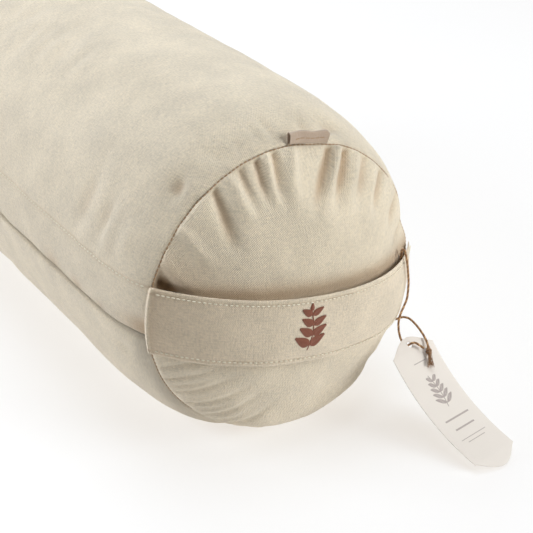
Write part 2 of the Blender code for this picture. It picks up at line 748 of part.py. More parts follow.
def make_hang_tag():
    rows = 14
    length = TAG_SIDE_LENGTH + 2.0 * TAG_PEAK

    def face(z):
        return [[tag_place(x, blend(TAG_PEAK - peak, length - TAG_PEAK + peak, i / rows), z)
                 for x, peak in tag_outline()] for i in range(rows + 1)]
    pivot = Vector((TAG_PIVOT[0], FRONT_Y + TAG_PIVOT[1], TAG_PIVOT[2]))
    tag = add_object("hang_tag", sheet_mesh(face(TAG_CARD), face(0.0)), "card", origin=pivot)
    hole = [(TAG_HOLE_RADIUS * math.cos(2.0 * math.pi * i / 16),
             TAG_HOLE_AT + TAG_HOLE_RADIUS * math.sin(2.0 * math.pi * i / 16)) for i in range(16)]
    cutter = add_object("tag_hole_cutter", prism_mesh(hole, -0.002, 0.003, tag_place), "card")
    cutter.hide_render = True
    cutter.display_type = "WIRE"
    cut = tag.modifiers.new("hole", "BOOLEAN")
    cut.operation = "DIFFERENCE"
    cut.object = cutter


def smooth_route(points, spacing):
    """Points along a Catmull-Rom curve through the route, an even distance apart."""
    ends = [points[0] * 2 - points[1]] + points + [points[-1] * 2 - points[-2]]
    fine = []
    for p0, p1, p2, p3 in zip(ends, ends[1:], ends[2:], ends[3:]):
        for i in range(24):
            t = i / 24
            fine.append(0.5 * (2 * p1 + (p2 - p0) * t + (2 * p0 - 5 * p1 + 4 * p2 - p3) * t ** 2
                               + (3 * p1 - p0 - 3 * p2 + p3) * t ** 3))
    fine.append(points[-1])
    total = sum((b - a).length for a, b in zip(fine, fine[1:]))
    count = max(2, round(total / spacing))
    kept, walked, target = [fine[0]], 0.0, total / count
    for a, b in zip(fine, fine[1:]):
        step = (b - a).length
        while walked + step >= target and len(kept) < count:
            kept.append(a.lerp(b, (target - walked) / step))
            target += total / count
        walked += step
    return kept + [fine[-1]]


def make_twine(name, route):
    points = [Vector((x, FRONT_Y + y, z)) for x, y, z in route]
    curve = bpy.data.curves.new(name, "CURVE")
    curve.dimensions = "3D"
    curve.bevel_depth = TWINE_DIAMETER / 2
    curve.bevel_resolution = 2
    curve.use_fill_caps = True
    spline = curve.splines.new("POLY")
    path = smooth_route(points, TWINE_DIAMETER)
    spline.points.add(len(path) - 1)
    for slot, point in zip(spline.points, path):
        slot.co = (*point, 1.0)
    item = bpy.data.objects.new(name, curve)
    item.data.materials.append(make_material(name, "twine"))
    bpy.context.collection.objects.link(item)


def make_twine_knot():
    """The knot that closes the loop, and its two short frayed ends, lying on the card."""
    start, end = Vector((0.0118, 0.0985, 0.0)), Vector((0.0048, 0.0850, 0.0))
    axis = (end - start).normalized()
    side = Vector((-axis.y, axis.x, 0.0))
    rows = []
    for share, radius in ((0.0, 0.0009), (0.10, 0.0020), (0.22, 0.0024), (0.34, 0.0018), (0.42, 0.0011),
                          (0.60, 0.0017), (0.85, 0.0024), (1.0, 0.0021)):
        line = []
        for j in range(12):
            angle = 2.0 * math.pi * j / 12
            lift = TAG_CARD + GAP + 0.0024
            local = start.lerp(end, share) + side * (radius * math.cos(angle))
            local.z = lift + 0.8 * radius * math.sin(angle)
            line.append(tag_place(*local))
        rows.append(line)
    build = bmesh.new()
    verts = add_grid(build, rows, True)
    build.faces.new(verts[0])
    build.faces.new(verts[-1][::-1])
    add_object("twine_knot", build, "twine")


def main():
    clear_scene()
    make_cover_barrel()
    make_cover_ends()
    make_seam_threads()
    make_placket_flap()
    make_placket_topstitch()
    make_zip_tapes()
    make_zip_coils()
    make_zip_stops()
    make_zip_slider()
    make_zip_pull()
    make_handle_strap()
    make_handle_stitching()
    make_handle_motif()
    make_fold_label()
    make_case()
    make_filling()
    make_hang_tag()
    make_twine("twine_loop", TWINE_LOOP_ROUTE)
    make_twine("twine_long", TWINE_LONG_ROUTE)
    make_twine("twine_short", TWINE_SHORT_ROUTE)
    make_twine_knot()


main()
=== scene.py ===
"""Looks of the round bolster pillow: canvas cover, handle, zip flap, label, and a card tag on twine.

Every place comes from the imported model: metres, the bolster along Y, its handle end towards -Y.
"""
import math

import bpy
import numpy as np
from mathutils import Matrix, Vector


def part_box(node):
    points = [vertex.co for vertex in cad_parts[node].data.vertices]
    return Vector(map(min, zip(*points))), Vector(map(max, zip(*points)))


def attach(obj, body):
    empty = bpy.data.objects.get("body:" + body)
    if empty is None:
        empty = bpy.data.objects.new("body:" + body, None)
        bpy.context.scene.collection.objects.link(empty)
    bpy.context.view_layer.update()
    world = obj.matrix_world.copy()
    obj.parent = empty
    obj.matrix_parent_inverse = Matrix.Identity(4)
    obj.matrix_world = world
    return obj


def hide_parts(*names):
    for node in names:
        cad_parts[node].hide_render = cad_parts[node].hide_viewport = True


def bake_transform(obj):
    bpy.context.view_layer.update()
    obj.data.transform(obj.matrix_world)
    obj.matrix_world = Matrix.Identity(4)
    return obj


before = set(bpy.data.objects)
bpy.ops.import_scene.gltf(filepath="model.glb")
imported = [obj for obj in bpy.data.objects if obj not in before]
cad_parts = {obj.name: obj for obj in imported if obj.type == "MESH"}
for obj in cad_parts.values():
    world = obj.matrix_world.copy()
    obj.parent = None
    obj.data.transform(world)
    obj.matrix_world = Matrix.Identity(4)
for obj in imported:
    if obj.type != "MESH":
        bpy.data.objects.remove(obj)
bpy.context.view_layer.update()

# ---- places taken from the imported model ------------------
END_LOW, END_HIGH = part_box("cover_end_front")
FRONT_Y = END_HIGH.y
REAR_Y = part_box("cover_end_rear")[0].y
RING_HALF_WIDTH = END_HIGH.x
RING_CENTRE_Z = 0.1040
RING_HALF_HEIGHT = END_HIGH.z - RING_CENTRE_Z
END_BULGE = FRONT_Y - END_LOW.y
BARREL_HALF_WIDTH = 0.1186
BARREL_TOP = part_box("cover_barrel")[1].z
BARREL_HALF_HEIGHT = BARREL_TOP - RING_CENTRE_Z
FLAP_TOP_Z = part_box("placket_flap")[1].z
FLAP_EDGE_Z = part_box("placket_flap")[0].z
ZIP_Z = (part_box("zip_slider")[0].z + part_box("zip_slider")[1].z) / 2
FLOOR = 0.0003                   # the cloth's lowest point

# ---- forms repeated from the CAD source ------------------
SWELL_LENGTH = 0.024
END_POWER = 2.4
END_SHOULDER = 0.95
END_SHOULDER_DROP = 0.40
CANVAS = 0.0010
GAP = 0.0004
STRAP_CENTRE_Z = 0.099
STRAP_SLOPE = math.radians(6.7)
STRAP_HALF_WIDTH = 0.0243
STRAP_THICKNESS = 0.0018
STRAP_STANDOFF = 0.0065
STITCH_INSET = 0.0035
MOTIF_AT = (-0.0155, 0.0006)     # along and across the strap, from its middle
LABEL_START, LABEL_END = math.radians(72.3), math.radians(88.6)
LABEL_HEIGHT = 0.0090
TAG_HALF_WIDTH = 0.0215
TAG_SIDE_LENGTH = 0.0920
TAG_PEAK = 0.0104
TAG_CARD = 0.0006
TAG_BOW = 0.0070
TAG_TIP_CURL = 0.8
TAG_HOLE_RADIUS = 0.0022
TAG_HOLE_AT = 0.1070
TWINE_DIAMETER = 0.0015
TWINE_LAY = 0.0048               # one full turn of its strands

# The twine's routes; X and Z are world positions and Y is measured from the front seam.
TWINE_OVER_ROUTE = (
    (0.0862, -0.0160, 0.0585), (0.0860, -0.0173, 0.0645), (0.0860, -0.0190, 0.0700),
    (0.0860, -0.0207, 0.0800), (0.0860, -0.0217, 0.0900), (0.0859, -0.0216, 0.1000),
    (0.0857, -0.0214, 0.1080), (0.0855, -0.0213, 0.1130), (0.0852, -0.0218, 0.1165),
    (0.0848, -0.0233, 0.1189), (0.0845, -0.0244, 0.1195), (0.0842, -0.0261, 0.1197),
    (0.0840, -0.0269, 0.1195), (0.0837, -0.0282, 0.1183), (0.0835, -0.0298, 0.1152),
    (0.0842, -0.0300, 0.1110), (0.0856, -0.0291, 0.1070), (0.0874, -0.0277, 0.1015),
    (0.0889, -0.0267, 0.0957), (0.0895, -0.0264, 0.0895), (0.0885, -0.0270, 0.0800),
    (0.0847, -0.0286, 0.0748), (0.0805, -0.0306, 0.0712), (0.0774, -0.0325, 0.0665),
    (0.0757, -0.0352, 0.0608), (0.0749, -0.0388, 0.0562), (0.0745, -0.0426, 0.0541),
    (0.0744, -0.0463, 0.0541), (0.0749, -0.0487, 0.0561), (0.0758, -0.0507, 0.0582),
    (0.0780, -0.0522, 0.0582), (0.0811, -0.0537, 0.0557), (0.0832, -0.0550, 0.0536),
)
TWINE_RETURN_ROUTE = (
    (0.0862, -0.0160, 0.0585), (0.0867, -0.0155, 0.0570), (0.0876, -0.0162, 0.0566),
    (0.0890, -0.0185, 0.0583), (0.0903, -0.0222, 0.0606), (0.0913, -0.0280, 0.0617),
    (0.0911, -0.0365, 0.0604), (0.0901, -0.0447, 0.0582), (0.0892, -0.0507, 0.0553),
    (0.0881, -0.0542, 0.0530),
)
# Where the front seam is pulled out of its even ring: angle and spread in degrees, then X and Z.
SEAM_PULLS = ((78.0, 10.5, 0.0, -0.0020), (14.0, 7.5, -0.0042, 0.0))
SEAM_PULL_REACH = 0.022


# ---- mesh helpers ----------------------------------------
def quad_rows(rows, columns, wrap, first=0):
    """Corner numbers of the quads of a grid, as an array of four columns."""
    i, j = np.meshgrid(np.arange(rows - 1), np.arange(columns if wrap else columns - 1), indexing="ij")
    k = (j + 1) % columns
    corners = np.stack([i * columns + j, i * columns + k, (i + 1) * columns + k, (i + 1) * columns + j], -1)
    return corners.reshape(-1, 4) + first


def join_rows(first, second, closed):
    """Quads between two lines of vertex numbers."""
    count = len(first)
    j = np.arange(count if closed else count - 1)
    k = (j + 1) % count
    return np.stack([first[j], first[k], second[k], second[j]], -1)


SHARP_ANGLE = math.radians(50.0)


def signed_volume(verts, faces):
    a, b, c, d = (verts[faces[:, i]] for i in range(4))
    return float((np.cross(a, b) * c).sum() + (np.cross(a, c) * d).sum())


def mesh_object(name, verts, faces, material, uv=None, body=None, slot=None, lids=(), hollow=None):
    """Make an object from arrays: lids are extra flat faces, uv is one pair per vertex, in metres, and
    the shade values, 0 to 1 per vertex, are painted shade for folds, creases and the places under the strap."""
    mesh = bpy.data.meshes.new(name)
    if signed_volume(verts, faces) < 0.0:
        faces = faces[:, ::-1]
        lids = [lid[::-1] for lid in lids]
    mesh.from_pydata(verts.tolist(), [], faces.tolist() + [list(map(int, lid)) for lid in lids])
    if uv is not None:
        layer = mesh.uv_layers.new(name="metres")
        loops = np.zeros(len(mesh.loops), dtype=np.int32)
        mesh.loops.foreach_get("vertex_index", loops)
        layer.data.foreach_set("uv", uv[loops].astype(np.float32).ravel())
    # Painted shade, stored per vertex for the cloth materials to darken by.
    if hollow is not None:
        mesh.attributes.new("hollow", "FLOAT", "POINT").data.foreach_set("value", hollow.astype(np.float32))
    mesh.shade_smooth()
    mesh.set_sharp_from_angle(angle=SHARP_ANGLE)
    item = bpy.data.objects.new(name, mesh)
    bpy.context.scene.collection.objects.link(item)
    item.data.materials.append(material)
    if body:
        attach(item, body)
    return item


def shell_arrays(outer, inner, wrap=False):
    """Vertices and quads of a closed body between two grids of the same size."""
    rows, columns = outer.shape[:2]
    count = rows * columns
    verts = np.concatenate([outer.reshape(-1, 3), inner.reshape(-1, 3)])
    number = np.arange(count).reshape(rows, columns)
    faces = [quad_rows(rows, columns, wrap), quad_rows(rows, columns, wrap, count)[:, ::-1],
             join_rows(number[0] + count, number[0], wrap), join_rows(number[-1], number[-1] + count, wrap)]
    if not wrap:
        faces += [join_rows(number[:, 0], number[:, 0] + count, False),
                  join_rows(number[:, -1] + count, number[:, -1], False)]
    return verts, np.concatenate(faces)


def shell(name, outer, inner, uv, material, wrap=False, **options):
    verts, faces = shell_arrays(outer, inner, wrap)
    both = np.concatenate([uv.reshape(-1, 2), uv.reshape(-1, 2)])
    if "hollow" in options:
        options["hollow"] = np.concatenate([options["hollow"].ravel()] * 2)
    return mesh_object(name, verts, faces, material, both, **options)


def grid_normals(grid, wrap=False):
    """Unit normals of a grid, from its neighbours."""
    along = np.gradient(grid, axis=0)
    if wrap:
        across = np.roll(grid, -1, axis=1) - np.roll(grid, 1, axis=1)
    else:
        across = np.gradient(grid, axis=1)
    normal = np.cross(along, across)
    return normal / np.maximum(np.linalg.norm(normal, axis=-1, keepdims=True), 1e-12)


def facing(grid, side, wrap=False):
    """Unit normals of a grid, turned to point along Y to that side."""
    normals = grid_normals(grid, wrap)
    return normals * np.sign((normals[..., 1] * side).mean())


def lengths_along(grid, axis):
    """Running length along one axis of a grid."""
    step = np.linalg.norm(np.diff(grid, axis=axis), axis=-1)
    start = np.zeros_like(np.take(step, [0], axis=axis))
    return np.concatenate([start, np.cumsum(step, axis=axis)], axis=axis)


class Bundle:
    """Collects many small closed bodies into one mesh."""

    def __init__(self):
        self.verts, self.faces, self.lids, self.count = [], [], [], 0

    def add(self, verts, faces, lids=()):
        if signed_volume(verts, faces) < 0.0:
            faces = faces[:, ::-1]
            lids = [lid[::-1] for lid in lids]
        self.verts.append(verts)
        self.faces.append(faces + self.count)
        self.lids += [np.asarray(lid) + self.count for lid in lids]
        self.count += len(verts)

    def object(self, name, material, **options):
        verts, faces = np.concatenate(self.verts), np.concatenate(self.faces)
        return mesh_object(name, verts, faces, material, lids=self.lids, **options)


def smooth_route(points, spacing):
    """Points along a Catmull-Rom curve through a route, an even distance apart."""
    points = np.asarray(points, float)
    ends = np.vstack([2 * points[0] - points[1], points, 2 * points[-1] - points[-2]])
    t = np.linspace(0.0, 1.0, 25)[:-1, None]
    fine = []
    for p0, p1, p2, p3 in zip(ends, ends[1:], ends[2:], ends[3:]):
        fine.append(0.5 * (2 * p1 + (p2 - p0) * t + (2 * p0 - 5 * p1 + 4 * p2 - p3) * t ** 2
                           + (3 * p1 - p0 - 3 * p2 + p3) * t ** 3))
    fine = np.vstack(fine + [points[-1:]])
    walked = lengths_along(fine, 0)
    even = np.linspace(0.0, walked[-1], max(3, round(walked[-1] / spacing) + 1))
    return np.stack([np.interp(even, walked, fine[:, i]) for i in range(3)], -1)


def path_frames(path):
    """Unit tangents and two steady side directions along a path."""
    tangents = np.gradient(path, axis=0)
    tangents /= np.linalg.norm(tangents, axis=1, keepdims=True)
    side = np.cross(tangents[0], [0.3, 0.2, 1.0])
    sides = []
    for tangent in tangents:
        side = side - tangent * side.dot(tangent)
        side = side / np.linalg.norm(side)
        sides.append(side)
    sides = np.array(sides)
    return tangents, sides, np.cross(tangents, sides)


def tube_arrays(path, radius, sides=6):
    """A closed tube along a path; radius is one number or one for each point."""
    second, third = path_frames(path)[1:]
    angles = np.arange(sides) * 2.0 * math.pi / sides
    radius = np.broadcast_to(radius, len(path))
    ring = second[:, None] * np.cos(angles)[None, :, None] + third[:, None] * np.sin(angles)[None, :, None]
    verts = (path[:, None] + ring * radius[:, None, None]).reshape(-1, 3)
    last = (len(path) - 1) * sides
    lids = [np.arange(sides)[::-1], np.arange(sides) + last]
    return verts, quad_rows(len(path), sides, True), lids


STRAND_SHARE = 0.33               # a strand's radius over the twine's diameter
STRAND_SIDES = 7


def twisted_strands(bundle, path, diameter, turn_length, strands=3):
    """Strands laid round each other along a path."""
    second, third = path_frames(path)[1:]
    walked = lengths_along(path, 0)
    strand_radius = diameter * STRAND_SHARE
    reach = diameter * 0.60 - strand_radius
    for k in range(strands):
        angle = 2.0 * math.pi * (walked / turn_length + k / strands)
        offset = second * np.cos(angle)[:, None] + third * np.sin(angle)[:, None]
        bundle.add(*tube_arrays(path + offset * reach, strand_radius, STRAND_SIDES))


# Pitch, share of the pitch that is thread, and the thread's radius.
SEAM_STITCH = (0.0032, 0.94, 0.00052)
FLAP_STITCH = (0.0042, 0.64, 0.00052)
STRAP_STITCH = (0.0034, 0.74, 0.00046)


def add_stitches(bundle, path, normals, stitch, lift=0.0):
    """Short rounded threads along a path, with a gap between each and the next."""
    pitch, share, radius = stitch
    walked = lengths_along(path, 0)
    count = max(1, int(walked[-1] / pitch))
    pitch = walked[-1] / count
    profile = np.array([0.30, 0.80, 1.0, 1.0, 0.80, 0.30])
    for k in range(count):
        places = np.linspace((k + 0.5 - share / 2) * pitch, (k + 0.5 + share / 2) * pitch, len(profile))
        line = np.stack([np.interp(places, walked, path[:, i]) for i in range(3)], -1)
        normal = np.stack([np.interp(places, walked, normals[:, i]) for i in range(3)], -1)
        hump = np.sin(np.linspace(0.15, 0.85, len(profile)) * math.pi)[:, None]
        line = line + normal * (lift + radius * (0.9 * hump - 0.35))
        bundle.add(*tube_arrays(line, radius * profile, 6))


# ---- materials -------------------------------------------
class Shade:
    """A material's node tree, with short calls for the nodes used here."""

    def __init__(self, name, roughness, metallic=0.0, sheen=0.0, specular=0.3):
        self.material = bpy.data.materials.new(name)
        self.material.use_nodes = True
        self.tree = self.material.node_tree
        self.shader = self.tree.nodes["Principled BSDF"]
        self.shader.inputs["Roughness"].default_value = roughness
        self.shader.inputs["Metallic"].default_value = metallic
        self.shader.inputs["Specular IOR Level"].default_value = specular
        self.shader.inputs["Sheen Weight"].default_value = sheen
        self.shader.inputs["Sheen Roughness"].default_value = 0.6

    def link(self, value, socket):
        if isinstance(value, bpy.types.NodeSocket):
            self.tree.links.new(value, socket)
        else:
            socket.default_value = value

    def math(self, operation, *values):
        node = self.tree.nodes.new("ShaderNodeMath")
        node.operation = operation
        for value, socket in zip(values, node.inputs):
            self.link(value, socket)
        return node.outputs[0]

    def place(self, kind):
        """Coordinates in metres: UV or Object."""
        return self.tree.nodes.new("ShaderNodeTexCoord").outputs[kind]

    def split(self, vector):
        node = self.tree.nodes.new("ShaderNodeSeparateXYZ")
        self.link(vector, node.inputs[0])
        return tuple(node.outputs)

    def stretch(self, vector, scale):
        node = self.tree.nodes.new("ShaderNodeVectorMath")
        node.operation = "MULTIPLY"
        self.link(vector, node.inputs[0])
        node.inputs[1].default_value = scale
        return node.outputs[0]

    def noise(self, vector, size, detail=2.0, roughness=0.5):
        """Noise of about that feature size, in metres, from 0 to 1."""
        node = self.tree.nodes.new("ShaderNodeTexNoise")
        self.link(vector, node.inputs["Vector"])
        node.inputs["Scale"].default_value = 1.0 / size
        node.inputs["Detail"].default_value = detail
        node.inputs["Roughness"].default_value = roughness
        return node.outputs[0]

    def wave(self, along, pitch):
        """A sine of that pitch along one coordinate, from -1 to 1."""
        return self.math("SINE", self.math("MULTIPLY", along, 2.0 * math.pi / pitch))

    def mix(self, *parts):
        """The sum of values, each given with its share."""
        total = 0.0
        for value, share in parts:
            total = self.math("ADD", total, self.math("MULTIPLY", value, share))
        return total

    def colour(self, share, dark, light):
        node = self.tree.nodes.new("ShaderNodeMix")
        node.data_type = "RGBA"
        self.link(share, node.inputs[0])
        self.link(dark if isinstance(dark, bpy.types.NodeSocket) else (*dark, 1.0), node.inputs[6])
        self.link(light if isinstance(light, bpy.types.NodeSocket) else (*light, 1.0), node.inputs[7])
        return node.outputs[2]

    def finish(self, colour, height=None, depth=0.0001):
        self.link(colour, self.shader.inputs["Base Color"])
        if height is not None:
            bump = self.tree.nodes.new("ShaderNodeBump")
            bump.inputs["Distance"].default_value = depth
            self.link(height, bump.inputs["Height"])
            self.link(bump.outputs[0], self.shader.inputs["Normal"])
        return self.material


def tone(colour, factor):
    return tuple(min(1.0, c * factor) for c in colour)


def woven(name, colour, pitch=0.0013, depth=0.00042, kind="UV", slub=0.19, mottle=0.018, soil=None,
          fold=None):
    """A plain weave with uneven yarns and soft cloudy variation of tone."""
    shade = Shade(name, 0.92, sheen=0.45, specular=0.15)
    place = shade.place(kind)
    u, v, w = shade.split(place)
    if kind == "Object":
        v = shade.math("ADD", v, w)
    warp = shade.noise(shade.stretch(place, (1.0, 0.22, 1.0)), 0.0010, 2.0)
    weft = shade.noise(shade.stretch(place, (0.22, 1.0, 0.22)), 0.0010, 2.0)
    grain = shade.noise(place, 0.0014, 3.0, 0.65)
    cross = shade.math("MULTIPLY", shade.wave(u, pitch), shade.wave(v, pitch))
    yarn = shade.math("ADD", shade.math("ADD", warp, weft), shade.math("MULTIPLY", grain, 1.2))
    height = shade.math("ADD", shade.math("MULTIPLY", cross, 0.45), yarn)
    cloud = shade.noise(place, 0.030, 2.0, 0.5)
    low, high = 1.0 - slub - mottle, 1.0 + slub + mottle
    uneven = shade.math("SUBTRACT", yarn, 1.6)
    share = shade.mix((uneven, slub / (slub + mottle)), (cloud, 1.0), (cross, 0.22))
    mixed = shade.colour(share, tone(colour, low), tone(colour, high))
    if soil:
        fleck = shade.noise(place, 0.0022, 2.0, 0.7)
        amount = shade.math("MULTIPLY", shade.math("GREATER_THAN", fleck, 0.70), 0.35)
        mixed = shade.colour(amount, mixed, soil)
    # Painted shade: the per-vertex shade attribute mixes this colour into the cloth.
    if fold:
        hollow = shade.tree.nodes.new("ShaderNodeAttribute")
        hollow.attribute_name = "hollow"
        mixed = shade.colour(hollow.outputs["Fac"], mixed, fold)
    return shade.finish(mixed, height, depth)


def spun(name, colour, size=0.0006, depth=0.00012, roughness=0.8, sheen=0.3, spread=0.25):
    """Thread, twine or fibre: fine streaks that vary in tone."""
    shade = Shade(name, roughness, sheen=sheen, specular=0.25)
    place = shade.place("Object")
    streak = shade.noise(place, size, 3.0, 0.6)
    cloud = shade.noise(place, size * 12.0, 2.0)
    share = shade.mix((streak, 0.7), (cloud, 0.3))
    mixed = shade.colour(share, tone(colour, 1.0 - spread), tone(colour, 1.0 + spread))
    return shade.finish(mixed, streak, depth)


def metal(name, colour):
    shade = Shade(name, 0.32, metallic=1.0, specular=0.5)
    place = shade.place("Object")
    brushed = shade.noise(shade.stretch(place, (1.0, 0.05, 1.0)), 0.0003, 2.0)
    worn = shade.noise(place, 0.004, 3.0)
    shade.link(shade.math("MULTIPLY_ADD", brushed, 0.25, 0.22), shade.shader.inputs["Roughness"])
    return shade.finish(shade.colour(worn, tone(colour, 0.86), tone(colour, 1.08)), brushed, 0.00002)


def paper(name, colour):
    shade = Shade(name, 0.78, sheen=0.05, specular=0.3)
    place = shade.place("UV")
    fibre = shade.noise(place, 0.0009, 4.0, 0.7)
    cloud = shade.noise(place, 0.018, 2.0)
    share = shade.mix((fibre, 0.5), (cloud, 0.5))
    return shade.finish(shade.colour(share, tone(colour, 0.95), tone(colour, 1.04)), fibre, 0.00004)


CLOTH = (0.765, 0.660, 0.492)
# Colour of the painted shade in folds, creases and under the strap.
FOLD_SHADE = (0.46, 0.275, 0.125)
MATERIALS = {
    "canvas": woven("canvas", CLOTH, soil=(0.50, 0.40, 0.27), fold=FOLD_SHADE),
    "canvas_flap": woven("canvas_flap", tone(CLOTH, 0.98), fold=FOLD_SHADE),
    "strap": woven("strap", (0.765, 0.650, 0.485), pitch=0.0011, depth=0.00034, fold=FOLD_SHADE),
    "label": woven("label", (0.455, 0.345, 0.255), pitch=0.0007, depth=0.00010, slub=0.06, mottle=0.04),
    "zip_tape": woven("zip_tape", (0.70, 0.62, 0.50), pitch=0.0007, depth=0.0001, kind="Object"),
    "inner_cloth": woven("inner_cloth", (0.80, 0.78, 0.72), pitch=0.0006, depth=0.00008, kind="Object"),
    "thread": spun("thread", (0.83, 0.75, 0.60)),
    # Dark brown thread: in the end seams its colour is painted shade of the groove; on the label it is a
    # woven line.
    "dark_thread_and_seam_shade": spun("dark_thread_and_seam_shade", (0.40, 0.25, 0.13)),
    "embroidery": spun("embroidery", (0.25, 0.075, 0.035), size=0.0005, spread=0.35),
    "fibre": spun("fibre", (0.86, 0.84, 0.78), size=0.004, depth=0.002, roughness=1.0, spread=0.08),
    "zip_coil": spun("zip_coil", (0.68, 0.60, 0.47), size=0.002, depth=0.00002, roughness=0.45, sheen=0.0,
                     spread=0.06),
    "zip_metal": metal("zip_metal", (0.62, 0.59, 0.53)),
    "card": paper("card", (0.755, 0.695, 0.630)),
    "ink": paper("ink", (0.44, 0.38, 0.35)),
    # The lighter strand's colour is a painted highlight along the twine's twist.
    "twine_highlight_strand": spun("twine_highlight_strand", (0.60, 0.36, 0.17), size=0.0009, depth=0.00018, roughness=0.95,
                        spread=0.3),
    "twine": spun("twine", (0.27, 0.135, 0.055), size=0.0009, depth=0.00018, roughness=0.95, spread=0.55),
}


def pull_seam(points):
    """The cover's points, moved with the front seam where that is pulled in or down, and a little wavy."""
    x, height = points[..., 0], points[..., 2] - RING_CENTRE_Z
    turn = np.degrees(np.arctan2(height, x))
    behind = points[..., 1] - FRONT_Y
    near = np.exp(-(behind / SEAM_PULL_REACH) ** 2) * np.minimum(np.hypot(x, height) / 0.08, 1.0) ** 2
    moved = points.copy()
    for middle, spread, pull_x, pull_z in SEAM_PULLS:
        share = near * np.exp(-((turn - middle) / spread) ** 2)
        moved[..., 0] += pull_x * share
        moved[..., 2] += pull_z * share
    wave = 0.00022 * np.sin(turn / 4.1) + 0.00022 * np.sin(turn / 1.7 + 1.0)
    moved[..., 1] += wave * np.exp(-(behind / 0.004) ** 2)
    return moved


# ---- folds and gathers -----------------------------------
def near_line(u, v, points, width, from_seam=False):
    """A soft ridge along a polyline: 1 on the line, fading over width and towards its ends. One that comes
    from a seam starts strong there, and widens as it runs out."""
    points = np.asarray(points, float)
    best = np.full(u.shape, np.inf)
    share = np.zeros(u.shape)
    pieces = len(points) - 1
    for k in range(pieces):
        a, d = points[k], points[k + 1] - points[k]
        t = np.clip(((u - a[0]) * d[0] + (v - a[1]) * d[1]) / max(d @ d, 1e-12), 0.0, 1.0)
        distance = np.hypot(u - a[0] - t * d[0], v - a[1] - t * d[1])
        closer = distance < best
        best = np.where(closer, distance, best)
        share = np.where(closer, (k + t) / pieces, share)
    if from_seam:
        fade = smooth_step(share, -0.45, 0.10) * (1.0 - smooth_step(share, 0.30, 1.0))
        width = width * (0.75 + 0.7 * share)
    else:
        fade = np.clip(4.0 * share * (1.0 - share), 0.0, 1.0) * 0.65 + 0.35
    return np.exp(-(best / width) ** 2) * fade


def soft_noise(u, v, size, seed, waves=9):
    """Smooth noise of about that feature size, from about -1 to 1."""
    random = np.random.default_rng(seed)
    total = np.zeros(np.broadcast(u, v).shape)
    for _ in range(waves):
        heading = random.uniform(0.0, 2.0 * math.pi)
        pace = 2.0 * math.pi / (size * random.uniform(0.8, 2.0))
        total = total + np.sin((u * math.cos(heading) + v * math.sin(heading)) * pace
                               + random.uniform(0.0, 2.0 * math.pi))
    return total / math.sqrt(waves)


def gathers(angle, distance, seed, reach, spacing):
    """Small random tucks that start at a seam and fade out; angle is round the seam."""
    random = np.random.default_rng(seed)
    total = np.zeros(np.broadcast(angle, distance).shape)
    count = int(360.0 / spacing)
    for k in range(count):
        middle = math.radians(-180.0 + (k + random.uniform(-0.4, 0.4)) * spacing)
        lean = random.uniform(-1.2, 1.2)
        size = random.uniform(0.15, 1.0) ** 1.6 * random.choice([-1.0, 0.7])
        length = reach * random.uniform(0.4, 1.4)
        width = random.uniform(0.010, 0.024)
        off = np.angle(np.exp(1j * (angle - middle - lean * distance)))
        total = total + size * np.exp(-(off / width) ** 2) * np.exp(-(distance / length) ** 2)
    return total


def hollow_share(relief, start):
    """How much painted shade a fold's dip gets, 0 to 1; dips shallower than the start get none."""
    return HOLLOW_SHADE * np.clip((-relief - start) / 0.0033, 0.0, 1.0) ** 1.2


MM = 0.001
# Painted shade in fold dips: how dark at most, and how deep a dip on the barrel and on the ends must be
# before it starts.
HOLLOW_SHADE = 0.55
BARREL_PAINTED_SHADE_START = 0.0012
END_PAINTED_SHADE_START = 0.0006
END_FOLD_GAIN = 1.45
BARREL_FOLD_GAIN = 1.15
ARC = 0.120                      # mean radius that turns an angle into a length
PANEL_EDGE_ANGLE = 185.6         # of the rolled edge below the flap, in degrees

# Folds seen in the photograph: height and width in mm, then (degrees round the barrel, mm behind the seam).
BARREL_FOLDS = (
    (-3.6, 6.0, ((127, 16), (134, 15))),
    (-1.8, 8.0, ((142, 83), (152, 87), (165, 92))),
    (-1.8, 6.0, ((147, 58), (162, 61))),
    (1.3, 7.0, ((150, 48), (165, 51))),
    (1.0, 6.0, ((151, 29), (160, 30))),
    (-2.8, 5.0, ((63, 10), (72, 12))),
    (-1.5, 3.0, ((80, 2), (80, 17))),
    (-1.2, 3.2, ((93, 3), (94, 22))),
    (-1.0, 3.0, ((98, 3), (99, 20))),
    (-1.2, 3.0, ((106, 2), (106, 13))),
    (-1.0, 5.0, ((112, 4), (118, 22))),
    (-3.2, 5.0, ((-47, -2), (-48, 14))),
    (1.6, 7.0, ((-30, 4), (-28, 20))),
    (1.2, 7.0, ((-60, 4), (-62, 18))),
    (-1.8, 3.4, ((-169, 20), (-168, 34))),
    (-1.6, 3.0, ((-165, 1), (-164, 10))),
)
